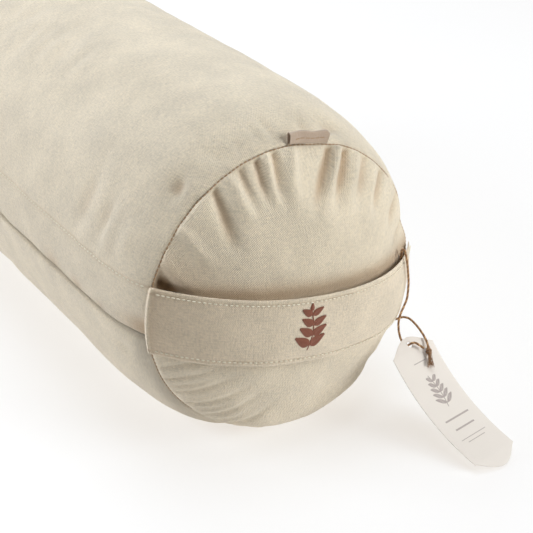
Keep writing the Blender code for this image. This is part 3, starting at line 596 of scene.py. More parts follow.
# The same for the front end panel: (degrees, share of the way to the seam).
END_FOLDS = (
    (-3.0, 4.2, ((122.0, 0.985), (126, 0.88), (132, 0.76), (137, 0.62))),
    (1.8, 4.0, ((115, 0.97), (118, 0.84), (122, 0.66))),
    (-1.6, 3.0, ((110, 0.985), (113, 0.86), (116, 0.72))),
    (-2.2, 3.2, ((103, 0.985), (106, 0.86), (109, 0.70))),
    (1.6, 3.4, ((99, 0.98), (103, 0.84), (107, 0.64))),
    (-2.4, 3.4, ((95.5, 0.985), (100, 0.84), (104, 0.66))),
    (1.9, 3.8, ((88, 0.98), (93, 0.84), (98, 0.62))),
    (-3.2, 4.0, ((71, 0.985), (77, 0.84), (84, 0.70), (90, 0.56))),
    (2.0, 3.6, ((66.8, 0.985), (74, 0.80), (81, 0.60))),
    (-3.2, 3.8, ((62.5, 0.985), (68, 0.80), (75, 0.62))),
    (1.7, 3.8, ((57, 0.98), (62, 0.78), (67, 0.58))),
    (-1.5, 3.4, ((52, 0.985), (55, 0.82), (60, 0.66))),
    (-2.2, 3.6, ((41, 0.985), (43, 0.82), (44, 0.66))),
    (1.2, 4.0, ((47, 0.97), (48, 0.76), (49, 0.54))),
    (1.0, 4.0, ((34, 0.98), (34, 0.78), (33, 0.60))),
    (-1.8, 3.6, ((27, 0.985), (28, 0.84), (28, 0.68))),
    (-4.6, 7.5, ((160, 1.0), (164, 0.93), (168, 0.86), (171, 0.74))),
    (1.0, 3.0, ((150, 0.99), (155, 0.93), (161, 0.84))),
    (1.4, 4.0, ((140, 0.98), (144, 0.84), (149, 0.70))),
    (-1.0, 2.4, ((-163, 0.99), (-165, 0.84), (-168, 0.60))),
    (-0.9, 2.0, ((-157, 0.99), (-158, 0.85), (-160, 0.62))),
    (-0.7, 1.8, ((-153, 0.99), (-153, 0.88), (-154, 0.70))),
    (-0.9, 2.2, ((-149, 0.99), (-149, 0.80), (-150, 0.56))),
    (-0.6, 1.6, ((-145.5, 0.99), (-144, 0.88), (-144, 0.74))),
    (-1.0, 2.2, ((-142, 0.99), (-139.5, 0.80), (-137, 0.54))),
    (-0.6, 1.6, ((-138, 0.99), (-135.5, 0.86), (-134, 0.72))),
    (-1.0, 2.2, ((-133, 0.99), (-130, 0.80), (-126, 0.54))),
    (-0.6, 1.8, ((-128, 0.99), (-125, 0.86), (-122, 0.70))),
    (-1.0, 2.6, ((-122, 0.99), (-118, 0.80), (-114, 0.60))),
    (-1.2, 3.2, ((14, 0.99), (15, 0.84), (15, 0.70))),
    (-2.6, 4.5, ((-47, 0.99), (-49, 0.88), (-51, 0.74))),
)


def smooth_step(value, low, high):
    t = np.clip((value - low) / (high - low), 0.0, 1.0)
    return t * t * (3.0 - 2.0 * t)


def barrel_relief(angle, y):
    """How far the barrel's cloth stands out of its plain form."""
    behind = y - FRONT_Y
    ahead = REAR_Y - y
    turn = np.angle(np.exp(1j * angle))
    u, v = turn * ARC, behind
    relief = 0.0005 * soft_noise(u, v, 0.060, 3) + 0.0002 * soft_noise(u, v * 0.6, 0.022, 5)
    for height, width, points in BARREL_FOLDS:
        places = [(math.radians(a) * ARC, d * MM) for a, d in points]
        relief = relief + BARREL_FOLD_GAIN * height * MM * near_line(u, v, places, width * MM)
    for k in range(9):
        d = 0.195 + 0.0165 * k + 0.004 * math.sin(2.3 * k)
        places = [(math.radians(108 + 3 * math.sin(1.7 * k)) * ARC, d),
                  (math.radians(124 + 4 * math.sin(2.9 * k)) * ARC, d + 0.006 * math.sin(1.3 * k))]
        relief = relief - 0.0011 * near_line(u, v, places, 0.0050)
    relief = relief + 0.0009 * gathers(turn, behind, 21, 0.015, 7.0)
    relief = relief + 0.0011 * gathers(turn, ahead, 22, 0.017, 6.0)
    # the panel below the flap stands out at its rolled edge
    relief = relief + 0.0020 * np.exp(-((np.degrees(turn) % 360.0 - PANEL_EDGE_ANGLE) / 3.4) ** 2)
    edge = np.minimum(behind, ahead)
    return relief * smooth_step(edge, -0.004, 0.010) - 0.0008 * np.exp(-(edge / 0.0011) ** 2)


def section(y):
    full = 1.0 - np.exp(-np.maximum(np.minimum(y - FRONT_Y, REAR_Y - y), 0.0) / SWELL_LENGTH)
    half_width = RING_HALF_WIDTH + (BARREL_HALF_WIDTH - RING_HALF_WIDTH) * full
    half_height = RING_HALF_HEIGHT + (BARREL_HALF_HEIGHT - RING_HALF_HEIGHT) * full
    return half_width, half_height


def barrel_surface(angle, y, depth=0.0):
    """Points of the barrel's cloth, with its folds; the underside lies on the floor."""
    angle, y = np.broadcast_arrays(angle, y)
    half_width, half_height = section(y)
    out_x, out_z = np.cos(angle) / half_width, np.sin(angle) / half_height
    size = np.hypot(out_x, out_z)
    out = barrel_relief(angle, y) - depth
    x = half_width * np.cos(angle) + out * out_x / size
    z = RING_CENTRE_Z + half_height * np.sin(angle) + out * out_z / size
    return pull_seam(np.stack([x, y, np.maximum(z, FLOOR + depth)], -1))


def side_angle(z, y):
    """Angle of a height on the zipped side."""
    return math.pi - np.arcsin(np.clip((z - RING_CENTRE_Z) / section(y)[1], -1.0, 1.0))


def barrel_stations(first, last, fine=0.0013, coarse=0.0042):
    """Places along the barrel, closer together at its seams."""
    steps = []
    d = 0.0
    while d < 0.040:
        steps.append(d)
        d += fine + (coarse - fine) * min(d / 0.040, 1.0)
    middle = np.linspace(first + d, last - d, int((last - first - 2 * d) / coarse))
    return np.concatenate([first + np.array(steps), middle, last - np.array(steps[::-1])])


# ---- cover -----------------------------------------------
LAP_START_Z = 0.0951
LAP_ROLL = 0.0018                # radius of the roll at the lap's edge
TOPSTITCH_Z = FLAP_TOP_Z + 0.0022
SEAM_HALF_GAP = 0.0004
SEAM_DEPTH = 0.0010


def make_barrel():
    y = barrel_stations(FRONT_Y + SEAM_HALF_GAP, REAR_Y - SEAM_HALF_GAP)
    start, end = side_angle(FLAP_TOP_Z + 0.00005, y), side_angle(LAP_START_Z, y) - 2.0 * math.pi
    share = np.linspace(0.0, 1.0, 280) ** 1.12
    angle = start[:, None] + (end - start)[:, None] * share[None]
    wide = np.broadcast_to(y[:, None], angle.shape)
    main = barrel_surface(angle, wide)
    # the lower edge rolls in under the flap
    bend = np.linspace(0.25, 1.0, 5) * math.pi / 2
    rise = np.linspace(0.0, 1.0, 6)
    lap_up = np.concatenate([LAP_ROLL * np.sin(bend), 0.0019 + 0.0006 * rise, 0.0035 + 0.0100 * rise])
    lap_in = np.concatenate([LAP_ROLL * (1.0 - np.cos(bend)), 0.0024 + 0.0036 * rise, 0.0066 + 0.0008 * rise])
    lap_z = LAP_START_Z + lap_up
    lap_y = np.broadcast_to(y[:, None], (len(y), len(lap_z)))
    lap_angle = side_angle(lap_z[None], lap_y)
    lap = barrel_surface(lap_angle, lap_y)
    lap[..., 0] += lap_in[None]
    outer = np.concatenate([main, lap], axis=1)
    inner = outer - outward(outer) * CANVAS
    inner[..., 2] = np.maximum(inner[..., 2], FLOOR + CANVAS)
    around = lengths_along(outer, 1)
    uv = np.stack([around, np.broadcast_to((y - FRONT_Y)[:, None], around.shape)], -1)
    relief = np.concatenate([barrel_relief(angle, wide), 0.0 * lap_y], axis=1)
    # Painted shade: darker in the fold dips, and in a line along the flap's topstitch row on the zip side.
    hollow = hollow_share(relief, BARREL_PAINTED_SHADE_START)
    stitch_row_shade = np.exp(-((outer[..., 2] - TOPSTITCH_Z) / 0.0008) ** 2) * (outer[..., 0] < 0.0)
    hollow = np.maximum(hollow, 0.50 * stitch_row_shade)
    item = shell("cover_barrel_cloth", outer, inner, uv, MATERIALS["canvas"], body="cover", slot="canvas",
                 hollow=hollow)
    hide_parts("cover_barrel")


def outward(grid, wrap=False):
    """Grid normals turned to point away from the bolster's axis."""
    normals = grid_normals(grid, wrap)
    middle = np.array([0.0, 0.0, RING_CENTRE_Z])
    away = (grid - middle) * np.array([1.0, 0.0, 1.0])
    return normals * np.sign((normals * away).sum(-1).mean())


def dome(s, downward):
    shoulder = END_SHOULDER - END_SHOULDER_DROP * np.maximum(downward, 0.0)
    return np.maximum(1.0 - s ** END_POWER, 0.0) ** shoulder


def end_height(x, z, grow=0.0):
    across = x / (RING_HALF_WIDTH + grow)
    down = (RING_CENTRE_Z - z) / (RING_HALF_HEIGHT + grow)
    s = np.hypot(across, down)
    return (END_BULGE + grow) * dome(s, down / np.maximum(s, 1e-9))


def across_strap(x, z):
    """How far a place on the end lies from the strap's middle line, upwards."""
    return x * math.sin(STRAP_SLOPE) + (z - STRAP_CENTRE_Z) * math.cos(STRAP_SLOPE)


def end_relief(angle, s, front):
    """How far an end panel's cloth stands out of its plain dome."""
    x, z = s * np.cos(angle) * RING_HALF_WIDTH, s * np.sin(angle) * RING_HALF_HEIGHT
    seam_distance = (1.0 - s) * RING_HALF_WIDTH
    relief = 0.0005 * soft_noise(x, z, 0.050, 31 if front else 32)
    relief = relief + 0.0002 * soft_noise(x, z, 0.018, 33)
    if front:
        for height, width, points in END_FOLDS:
            places = [(r * math.cos(math.radians(a)) * RING_HALF_WIDTH,
                       r * math.sin(math.radians(a)) * RING_HALF_HEIGHT) for a, r in points]
            fold = near_line(x, z, places, width * MM, from_seam=True)
            relief = relief + END_FOLD_GAIN * height * MM * fold
        relief = relief + 0.0006 * gathers(angle, seam_distance, 41, 0.014, 6.0)
    else:
        relief = relief + 0.0015 * gathers(angle, seam_distance, 42, 0.022, 7.0)
    low = np.exp(-((np.angle(np.exp(1j * (angle + math.pi / 2)))) / 0.75) ** 2)
    relief = relief + 0.0045 * low * np.exp(-((s - 0.86) / 0.14) ** 2)
    if front:
        across = np.abs(across_strap(x, z + RING_CENTRE_Z))
        band = 1.0 - smooth_step(across, STRAP_HALF_WIDTH, STRAP_HALF_WIDTH + 0.006)
        band = band * smooth_step(s, 0.45, 0.75)
        relief = np.where(relief > 0.0, relief * (1.0 - band), relief)
    return relief * smooth_step(1.0 - s, 0.0, 0.020)


def end_surface(angle, s, front, depth=0.0):
    """Points of an end panel's cloth; s is 1 at its seam."""
    seam_y, side = (FRONT_Y, -1.0) if front else (REAR_Y, 1.0)
    x = RING_HALF_WIDTH * s * np.cos(angle)
    z = RING_CENTRE_Z + RING_HALF_HEIGHT * s * np.sin(angle)
    base = np.stack([x, seam_y + side * END_BULGE * dome(s, -np.sin(angle)), z], -1)
    points = base + facing(base, side, wrap=True) * (end_relief(angle, s, front) - depth)[..., None]
    edge = 0.0008 * np.exp(-((1.0 - s) / 0.008) ** 2)
    points[..., 0] -= edge * np.cos(angle)
    points[..., 2] -= edge * np.sin(angle)
    points[..., 2] = np.maximum(points[..., 2], FLOOR + depth)
    return pull_seam(points)


def make_end(name, node, front):
    rings = (np.linspace(0.012, 0.60, 22), np.linspace(0.62, 0.94, 30), np.linspace(0.948, 1.0, 10))
    s = np.concatenate(rings)
    turn = np.arange(360) * 2.0 * math.pi / 360
    angle, share = np.meshgrid(turn, s, indexing="xy")
    outer = end_surface(angle, share, front)
    inner = end_surface(angle, share, front, depth=CANVAS)
    verts, faces = shell_arrays(outer, inner, wrap=True)
    keep = len(s) * len(turn)
    # the small circles in the middle are closed with flat lids
    faces = faces[~np.all(np.isin(faces % keep, np.arange(len(turn))), axis=1)]
    lids = [np.arange(len(turn)), np.arange(len(turn))[::-1] + keep]
    flat = outer.reshape(-1, 3)[:, [0, 2]]
    if not lid_follows(faces):
        lids = [lid[::-1] for lid in lids]
    # Painted shade: darker in the fold dips of the end panel.
    hollow = hollow_share(end_relief(angle, share, front), END_PAINTED_SHADE_START)
    if front:
        # On the front end, a painted shadow of the strap along its upper edge, and painted shade over the
        # end's left part near that edge.
        above = across_strap(outer[..., 0], outer[..., 2]) - STRAP_HALF_WIDTH
        hollow = np.maximum(hollow, 0.60 * np.exp(-(np.abs(above) / 0.007) ** 2))
        left = smooth_step(-outer[..., 0], 0.050, 0.100) * (above > -0.005)
        hollow = np.maximum(hollow, 0.45 * left * np.exp(-(np.abs(above) / 0.022) ** 2))
    hollow = hollow.ravel()
    item = mesh_object(name, verts, faces, MATERIALS["canvas"], np.concatenate([flat, flat]), lids=lids,
                       body="cover", slot="canvas", hollow=np.concatenate([hollow, hollow]))
    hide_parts(node)


def lid_follows(faces):
    """True if a lid that counts upwards turns the same way as the quads that it borders."""
    quad = faces[np.any(faces == 0, axis=1) & np.any(faces == 1, axis=1)][0].tolist()
    forward = quad[(quad.index(0) + 1) % 4] == 1
    return not forward


def make_seam_stitches():
    """The thread that closes each end seam, down in its groove; its dark brown colour is painted shade of the
    groove.
    """
    for name, node, y in (("seam_stitches_front", "end_seam_thread_front", FRONT_Y),
                          ("seam_stitches_rear", "end_seam_thread_rear", REAR_Y)):
        turn = np.linspace(0.0, 2.0 * math.pi, 500)
        x, z = (RING_HALF_WIDTH - SEAM_DEPTH) * np.cos(turn), (RING_HALF_HEIGHT - SEAM_DEPTH) * np.sin(turn)
        path = pull_seam(np.stack([x, np.full_like(x, y), np.maximum(RING_CENTRE_Z + z, FLOOR + 0.0016)], -1))
        normals = np.stack([np.cos(turn), np.zeros_like(x), np.sin(turn)], -1)
        bundle = Bundle()
        add_stitches(bundle, path, normals, SEAM_STITCH)
        item = bundle.object(name, MATERIALS["dark_thread_and_seam_shade"], body="cover", slot="thread")
        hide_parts(node)


# ---- flap over the zip -----------------------------------
FLAP_THICKNESS = 0.0016
FLAP_START = 0.0008               # behind each seam
FLAP_SPLIT_Y = REAR_Y - 0.150
FLAP_HELD = 0.075                # how far from a seam the flap is still held down
# Painted shade of creases at the flap's lower edge: how dark, how high, how far behind the seam, and how
# long.
FLAP_CREASE_SHADE = ((0.45, 0.007, 0.088, 0.008), (0.30, 0.005, 0.052, 0.006), (0.35, 0.009, 0.128, 0.010))


def flap_section(y):
    """A closed section of the doubled flap at each place along it: out, round the fold, and back up."""
    rows = 16
    down = np.linspace(0.0, 1.0, rows)
    bend = np.linspace(0.0, math.pi, 7)[1:-1]
    half = FLAP_THICKNESS / 2
    z = np.concatenate([FLAP_TOP_Z + (FLAP_EDGE_Z + half - FLAP_TOP_Z) * down,
                        FLAP_EDGE_Z + half - half * np.sin(bend),
                        FLAP_EDGE_Z + half + (FLAP_TOP_Z - FLAP_EDGE_Z - half) * down])
    depth = np.concatenate([np.zeros(rows), half - half * np.cos(bend), np.full(rows, FLAP_THICKNESS)])
    wide_y = np.broadcast_to(y[:, None], (len(y), len(z)))
    wide_z = np.broadcast_to(z[None], wide_y.shape)
    points = barrel_surface(side_angle(wide_z, wide_y), wide_y)
    points[..., 0] += depth[None]
    behind = wide_y - FRONT_Y
    valley = 0.0020 * np.exp(-((wide_z - 0.1075) / 0.0060) ** 2) * np.exp(-(behind / 0.026) ** 2)
    rolled_in = 0.0024 * np.exp(-((wide_z - FLAP_EDGE_Z) / 0.0085) ** 2)
    uneven = 0.85 + 0.15 * np.sin(behind / 0.021 + 1.0) + 0.10 * np.sin(behind / 0.0083)
    points[..., 0] += valley + rolled_in * uneven
    return points


def make_flap():
    """The flap in two pieces, one from each seam to the split between them."""
    for name, first, last, held, step in (
            ("flap_front", FRONT_Y + FLAP_START, FLAP_SPLIT_Y, FRONT_Y, FLAP_HELD),
            ("flap_rear", FLAP_SPLIT_Y, REAR_Y - FLAP_START, REAR_Y, -FLAP_HELD)):
        y = np.arange(first, last, 0.0026)
        y = np.append(y[:-1], last)
        grid = flap_section(y)
        rows, columns = grid.shape[:2]
        verts = grid.reshape(-1, 3)
        lids = [np.arange(columns)[::-1], np.arange(columns) + (rows - 1) * columns]
        around = lengths_along(grid, 1)
        uv = np.stack([around, np.broadcast_to((y - FRONT_Y)[:, None], around.shape)], -1).reshape(-1, 2)
        z, behind = verts[:, 2], verts[:, 1] - FRONT_Y
        # Painted shade: a shadow wedge by the strap near the front seam, and the creases along the lower
        # edge.
        front_seam_shadow = 0.75 * np.exp(-((z - 0.1030) / 0.0075) ** 2) * np.exp(-(behind / 0.020) ** 2)
        crease_shade = sum(share * np.exp(-((z - FLAP_EDGE_Z) / high) ** 2) * np.exp(-((behind - at) / wide) ** 2)
                      for share, high, at, wide in FLAP_CREASE_SHADE)
        item = mesh_object(name, verts, quad_rows(rows, columns, True), MATERIALS["canvas_flap"], uv,
                           lids=lids, slot="canvas", hollow=np.maximum(front_seam_shadow, crease_shade))
        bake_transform(item)
        if held == FRONT_Y:
            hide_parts("placket_flap")


def make_flap_topstitch():
    y = np.arange(FRONT_Y + 0.004, REAR_Y - 0.004, 0.002)
    angle = side_angle(np.full_like(y, TOPSTITCH_Z), y)
    path = barrel_surface(angle, y)
    normals = np.stack([np.cos(angle), np.zeros_like(y), np.sin(angle)], -1)
    bundle = Bundle()
    add_stitches(bundle, path, normals, FLAP_STITCH, lift=0.0001)
    item = bundle.object("flap_topstitch", MATERIALS["thread"], body="cover", slot="thread")
    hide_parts("placket_topstitch")


# ---- zip -------------------------------------------------
ZIP_FINISH = {
    "zip_tape": ("zip_tape_upper", "zip_tape_lower"),
    "zip_metal": ("zip_bottom_stop", "zip_top_stop_upper", "zip_top_stop_lower", "zip_slider", "zip_pull"),
}
COIL_PITCH = 0.00135
COIL_WIRE = 0.00030


def make_zip():
    """The zip's own CAD pieces take their materials; each coil is drawn turn by turn."""
    for name, nodes in ZIP_FINISH.items():
        for node in nodes:
            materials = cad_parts[node].data.materials
            materials.clear()
            materials.append(MATERIALS[name])
    for node in ("zip_coil_upper", "zip_coil_lower"):
        low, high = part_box(node)
        x = np.array([high.x - 0.0002, low.x + 0.0004, low.x + 0.0003, high.x - 0.0002])
        lean = np.array([-0.25, -0.1, 0.1, 0.25]) * COIL_PITCH
        rise = np.array([0.10, 0.25, 0.75, 0.90])
        z = low.z + (high.z - low.z) * (rise if node.endswith("upper") else 1.0 - rise)
        bundle = Bundle()
        for k in range(int((high.y - low.y) / COIL_PITCH)):
            turn = np.stack([x, low.y + (k + 0.5) * COIL_PITCH + lean, z], -1)
            bundle.add(*tube_arrays(turn, COIL_WIRE, 5))
        item = bundle.object(node + "_teeth", MATERIALS["zip_coil"], body="cover", slot="zip_coil")
        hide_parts(node)


# ---- carry handle ----------------------------------------
def strap_ends(across):
    """Where the strap's line at a distance across its width meets the seam."""
    half_width, half_height = RING_HALF_WIDTH + GAP, RING_HALF_HEIGHT + GAP
    start_x = across * math.sin(STRAP_SLOPE)
    start_z = STRAP_CENTRE_Z + across * math.cos(STRAP_SLOPE)
    run_x, run_z = math.cos(STRAP_SLOPE), -math.sin(STRAP_SLOPE)
    a = (run_x / half_width) ** 2 + (run_z / half_height) ** 2
    b = start_x * run_x / half_width ** 2 + (start_z - RING_CENTRE_Z) * run_z / half_height ** 2
    c = (start_x / half_width) ** 2 + ((start_z - RING_CENTRE_Z) / half_height) ** 2 - 1.0
    root = np.sqrt(b * b - a * c)
    return start_x, start_z, (-b - root) / a, (-b + root) / a


def strap_points(share, across):
    """Points of the strap's inner face; share runs from the left seam to the right."""
    start_x, start_z, low, high = strap_ends(across)
    along = low + (high - low) * share
    x = start_x + along * math.cos(STRAP_SLOPE)
    z = start_z - along * math.sin(STRAP_SLOPE)
    u = 2.0 * share - 1.0
    standoff = GAP + STRAP_STANDOFF * (1.0 - u * u)
    return np.stack([x, FRONT_Y - GAP - end_height(x, z, grow=GAP) - standoff, z], -1)


def strap_grid(shares, lines, height):
    """The strap's surface at a height above its inner face, with a slight roll at its edges."""
    share, across = np.meshgrid(shares, lines, indexing="ij")
    grid = strap_points(share, across)
    return grid + facing(grid, -1.0) * np.broadcast_to(height, share.shape)[..., None]


def strap_wave(shares, lines):
    """Small puckers in the strap beside its topstitching."""
    share, across = np.meshgrid(shares, lines, indexing="ij")
    edge = np.exp(-((np.abs(across) - STRAP_HALF_WIDTH + STITCH_INSET) / 0.0012) ** 2)
    pucker = 0.5 + 0.5 * np.sin(share * 2.0 * RING_HALF_WIDTH / 0.0034 * 2.0 * math.pi)
    drape = soft_noise(share * 0.2, across, 0.030, 51)
    return -0.00035 * edge * (0.6 + 0.4 * pucker) + 0.00025 * drape


# Each half of the strap: where its cloth and its stitching start, then on X its seam and where it hangs free.
STRAP_HALVES = (
    ("left", -0.0085, 0.012, -RING_HALF_WIDTH, -0.080),
    ("right", 0.988, 0.988, RING_HALF_WIDTH, 0.090),
)
STRAP_MIDDLE = 0.5


def blend_strap(item):
    """Bakes the item's placement into its mesh."""
    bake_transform(item)


def make_strap():
    lines = STRAP_HALF_WIDTH * np.sin(np.linspace(-0.5, 0.5, 61) * math.pi)
    lines = 0.5 * lines + 0.5 * STRAP_HALF_WIDTH * np.linspace(-1.0, 1.0, 61)
    for part, first, _, seam_x, free_x in STRAP_HALVES:
        shares = np.linspace(first, STRAP_MIDDLE, 130)
        hem = 0.0008 * (1.0 - smooth_step(shares, 0.004, 0.009)) * (first < 0.1)
        edge_round = 0.0006 * smooth_step(np.abs(lines), STRAP_HALF_WIDTH - 0.0012, STRAP_HALF_WIDTH)
        thin = 0.0009 * (1.0 - smooth_step(np.abs(shares - first), 0.0, 0.035)) * (first > 0.9)
        top = STRAP_THICKNESS + (hem - thin)[:, None] + strap_wave(shares, lines) - edge_round[None]
        outer = strap_grid(shares, lines, top)
        inner = strap_grid(shares, lines, edge_round[None])
        uv = np.stack([np.broadcast_to(lines[None], top.shape),
                       np.broadcast_to((shares * 2.0 * RING_HALF_WIDTH)[:, None], top.shape)], -1)
        # Painted shade: a dark line along each stitch row, and the strap darker towards its left end.
        row = np.exp(-((np.abs(lines) - STRAP_HALF_WIDTH + STITCH_INSET) / 0.0007) ** 2)
        shade = 0.30 * np.exp(-np.clip(shares - 0.004, 0.0, 1.0) / 0.10) * (shares > 0.004)
        hollow = np.maximum(0.42 * row[None], shade[:, None])
        item = shell("strap_" + part, outer, inner, uv, MATERIALS["strap"], slot="strap", hollow=hollow)
        blend_strap(item)
        if part == "left":
            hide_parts("handle_strap")


def make_strap_stitching():
    inset = STRAP_HALF_WIDTH - STITCH_INSET
    for row, middle in (("upper", inset), ("lower", -inset)):
        for part, _, first, seam_x, free_x in STRAP_HALVES:
            shares = np.linspace(first, STRAP_MIDDLE, 160)
            lines = np.array([middle - 0.001, middle, middle + 0.001])
            grid = strap_grid(shares, lines, STRAP_THICKNESS - 0.00025)
            bundle = Bundle()
            add_stitches(bundle, grid[:, 1], facing(grid, -1.0)[:, 1], STRAP_STITCH, lift=0.0001)
            item = bundle.object(f"strap_stitches_{row}_{part}", MATERIALS["thread"], slot="thread")
            blend_strap(item)
            if part == "left":
                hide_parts("handle_topstitch_" + row)


def on_strap(across_x, across_z, height):
    """A point on the strap's face, from its place along and across from the middle."""
    share = 0.5 + np.asarray(across_x) / (2.0 * RING_HALF_WIDTH)
    point = strap_points(share, np.asarray(across_z))
    return point + np.array([0.0, -1.0, 0.0]) * (STRAP_THICKNESS + height)


SPRIG_LENGTH = 0.0300
SPRIG_BEND = 0.0030
LEAF_THREADS = 17
LEAF_RISE = np.array([0.0001, 0.0004, 0.0005, 0.0004, 0.0001])


def sprig_stem(t):
    """Places along and across the strap on the sprig's stem, t from 0 to 1."""
    t = np.asarray(t, float)
    bend = SPRIG_BEND * np.sin(t * math.pi)
    return np.stack([MOTIF_AT[0] + bend, MOTIF_AT[1] + (t - 0.5) * SPRIG_LENGTH], -1)


def make_sprig():
    """A plain leafy sprig in satin stitch: a bent stem and pairs of leaves, each of many threads."""
    bundle = Bundle()
    stem = sprig_stem(np.linspace(0.0, 1.0, 26))
    bundle.add(*tube_arrays(on_strap(stem[:, 0], stem[:, 1], 0.00025), 0.00042, 6))
    leaves = [(0.12 + 0.25 * k, side) for k in range(4) for side in (-1.0, 1.0)] + [(0.96, 0.0)]
    for t, side in leaves:
        heading = math.radians(90.0 - side * 58.0)
        size = 0.0140 * (1.0 - 0.38 * t) if side else 0.0062
        along = np.array([math.cos(heading), math.sin(heading)])
        across = np.array([-along[1], along[0]])
        for i in range(LEAF_THREADS):
            q = (i + 0.5) / LEAF_THREADS
            half = size * 0.26 * math.sin(math.pi * q ** 0.8)
            if half < 0.0003:
                continue
            middle = sprig_stem(t) + along * (0.0006 + size * q)
            reach = np.array([-1.0, -0.5, 0.0, 0.5, 1.0])[:, None] * half
            flat = middle + across * reach - along * np.abs(reach) * 0.5
            line = on_strap(flat[:, 0], flat[:, 1], LEAF_RISE[:, None])
            bundle.add(*tube_arrays(line, size / LEAF_THREADS * 0.58, 5))
    item = bundle.object("sprig_embroidery", MATERIALS["embroidery"], body="carry_handle", slot="embroidery")
    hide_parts("handle_embroidery")


# ---- fold-over label -------------------------------------
def make_label():
    """A woven strip folded double; its loop stands up from the seam and bells open at its left end."""
    bend = np.linspace(0.0, math.pi, 9)
    rise = np.linspace(0.0, 1.0, 9)[:-1]
    angles = np.linspace(LABEL_START, LABEL_END, 48)
    open_end = smooth_step(angles, LABEL_END - 0.10, LABEL_END)
    half = 0.0008 + 0.0011 * open_end
    layers = []
    for thick in (0.00028, -0.00028):
        lines = []
        for angle, width in zip(angles, half):
            up = np.array([math.cos(angle), 0.0, math.sin(angle)])
            foot = np.array([RING_HALF_WIDTH * math.cos(angle), FRONT_Y - 0.0004,
                             RING_CENTRE_Z + RING_HALF_HEIGHT * math.sin(angle)])
            corner = 0.0016 * (1.0 - smooth_step(angle, LABEL_START, LABEL_START + 0.022))
            top = LABEL_HEIGHT - width - corner + 0.0004 * math.sin(angle * 40.0)
            section_y = np.concatenate([np.full(len(rise), -width - thick), -(width + thick) * np.cos(bend),
                                        np.full(len(rise), width + thick)])
            section_up = np.concatenate([0.0006 + rise * (top - 0.0006), top + (width + thick) * np.sin(bend),
                                         0.0006 + rise[::-1] * (top - 0.0006)])
            waist = 1.0 - 0.55 * np.exp(-(section_up / 0.0030) ** 2)
            sideways = np.array([0.0, 1.0, 0.0]) * (section_y * waist)[:, None]
            lines.append(foot + up * section_up[:, None] + sideways)
        layers.append(pull_seam(np.array(lines)))
    outer, inner = layers
    across = lengths_along(outer, 1)
    uv = np.stack([across, lengths_along(outer, 0)], -1)
    item = shell("label_loop", outer, inner, uv, MATERIALS["label"], body="fold_label", slot="label")
    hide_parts("fold_label")
    width = float(lengths_along(outer, 0)[-1].mean())
    make_label_dashes(outer)


def make_label_dashes(outer):
    """A plain woven line of dashes along the label's face."""
    bundle = Bundle()
    for first in range(6, 40, 6):
        line = outer[first:first + 5, 4] + np.array([0.0, -0.00012, 0.0])
        bundle.add(*tube_arrays(line, 0.00030, 5))
    bundle.object("label_lines", MATERIALS["dark_thread_and_seam_shade"], body="fold_label", slot="thread")


# ---- inner case and filling ------------------------------
CASE_INSET = 0.0038
CASE_SEAM = 0.012
CASE_CLOTH = 0.0008
ZIP_RECESS = 0.0096
CASE_DROP = 0.005                # the case's dome and the filling's stay this far under the cover's
FILLING_DROP = 0.012


def case_tube(y, depth):
    """Rings of the inner case, pushed in behind the zip."""
    turn = np.arange(160) * 2.0 * math.pi / 160
    angle, wide = np.meshgrid(turn, y)
    points = barrel_surface(angle, wide, depth)
    share = np.clip(1.0 - ((points[..., 2] - ZIP_Z) / 0.036) ** 4, 0.0, 1.0) * (points[..., 0] < 0.0)
    points[..., 0] += ZIP_RECESS * share
    return points


def case_dome(rim, y, side, bulge):
    """Rings that shrink from the case's rim to its middle, doming outwards, with soft gathers."""
    shares = np.concatenate([[0.03], np.linspace(0.12, 1.0, 22)])
    middle = np.array([0.0, y, RING_CENTRE_Z])
    turn = np.arange(rim.shape[0]) * 2.0 * math.pi / rim.shape[0]
    rings = []
    for s in shares:
        ring = middle + (rim - middle) * s
        tucks = gathers(turn, np.full_like(turn, (1.0 - s) * 0.1), 61, 0.03, 6.0)
        ring[:, 1] = y + side * (bulge * (1.0 - s ** END_POWER) + 0.0006 * tucks)
        rings.append(ring)
    return np.array(rings)


def make_case():
    first, last = FRONT_Y + CASE_SEAM, REAR_Y - CASE_SEAM
    y = np.linspace(first, last, 110)
    outer, inner = case_tube(y, CASE_INSET), case_tube(y, CASE_INSET + CASE_CLOTH)
    uv = np.stack([lengths_along(outer, 1), lengths_along(outer, 0)], -1)
    item = shell("inner_case_tube", outer, inner, uv, MATERIALS["inner_cloth"], wrap=True, body="cover",
                 slot="inner_cloth")
    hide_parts("case_barrel")
    for name, node, place, side in (("inner_case_front", "case_end_front", first, -1.0),
                                    ("inner_case_rear", "case_end_rear", last, 1.0)):
        start = place + side * 2.0 * GAP
        rim = case_tube(np.array([place]), CASE_INSET)[0]
        rim[:, 1] = start
        outer = case_dome(rim, start, side, END_BULGE - CASE_DROP)
        inner = outer - np.array([0.0, side * CASE_CLOTH, 0.0])
        inner[-1] = outer[-1] * np.array([0.992, 1.0, 0.992]) + np.array([0.0, 0.0, RING_CENTRE_Z * 0.008])
        verts, faces = shell_arrays(outer, inner, wrap=True)
        flat = outer.reshape(-1, 3)[:, [0, 2]]
        item = mesh_object(name, verts, faces, MATERIALS["inner_cloth"], np.concatenate([flat, flat]),
                           body="cover", slot="inner_cloth")
        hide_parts(node)
    make_filling(first, last)


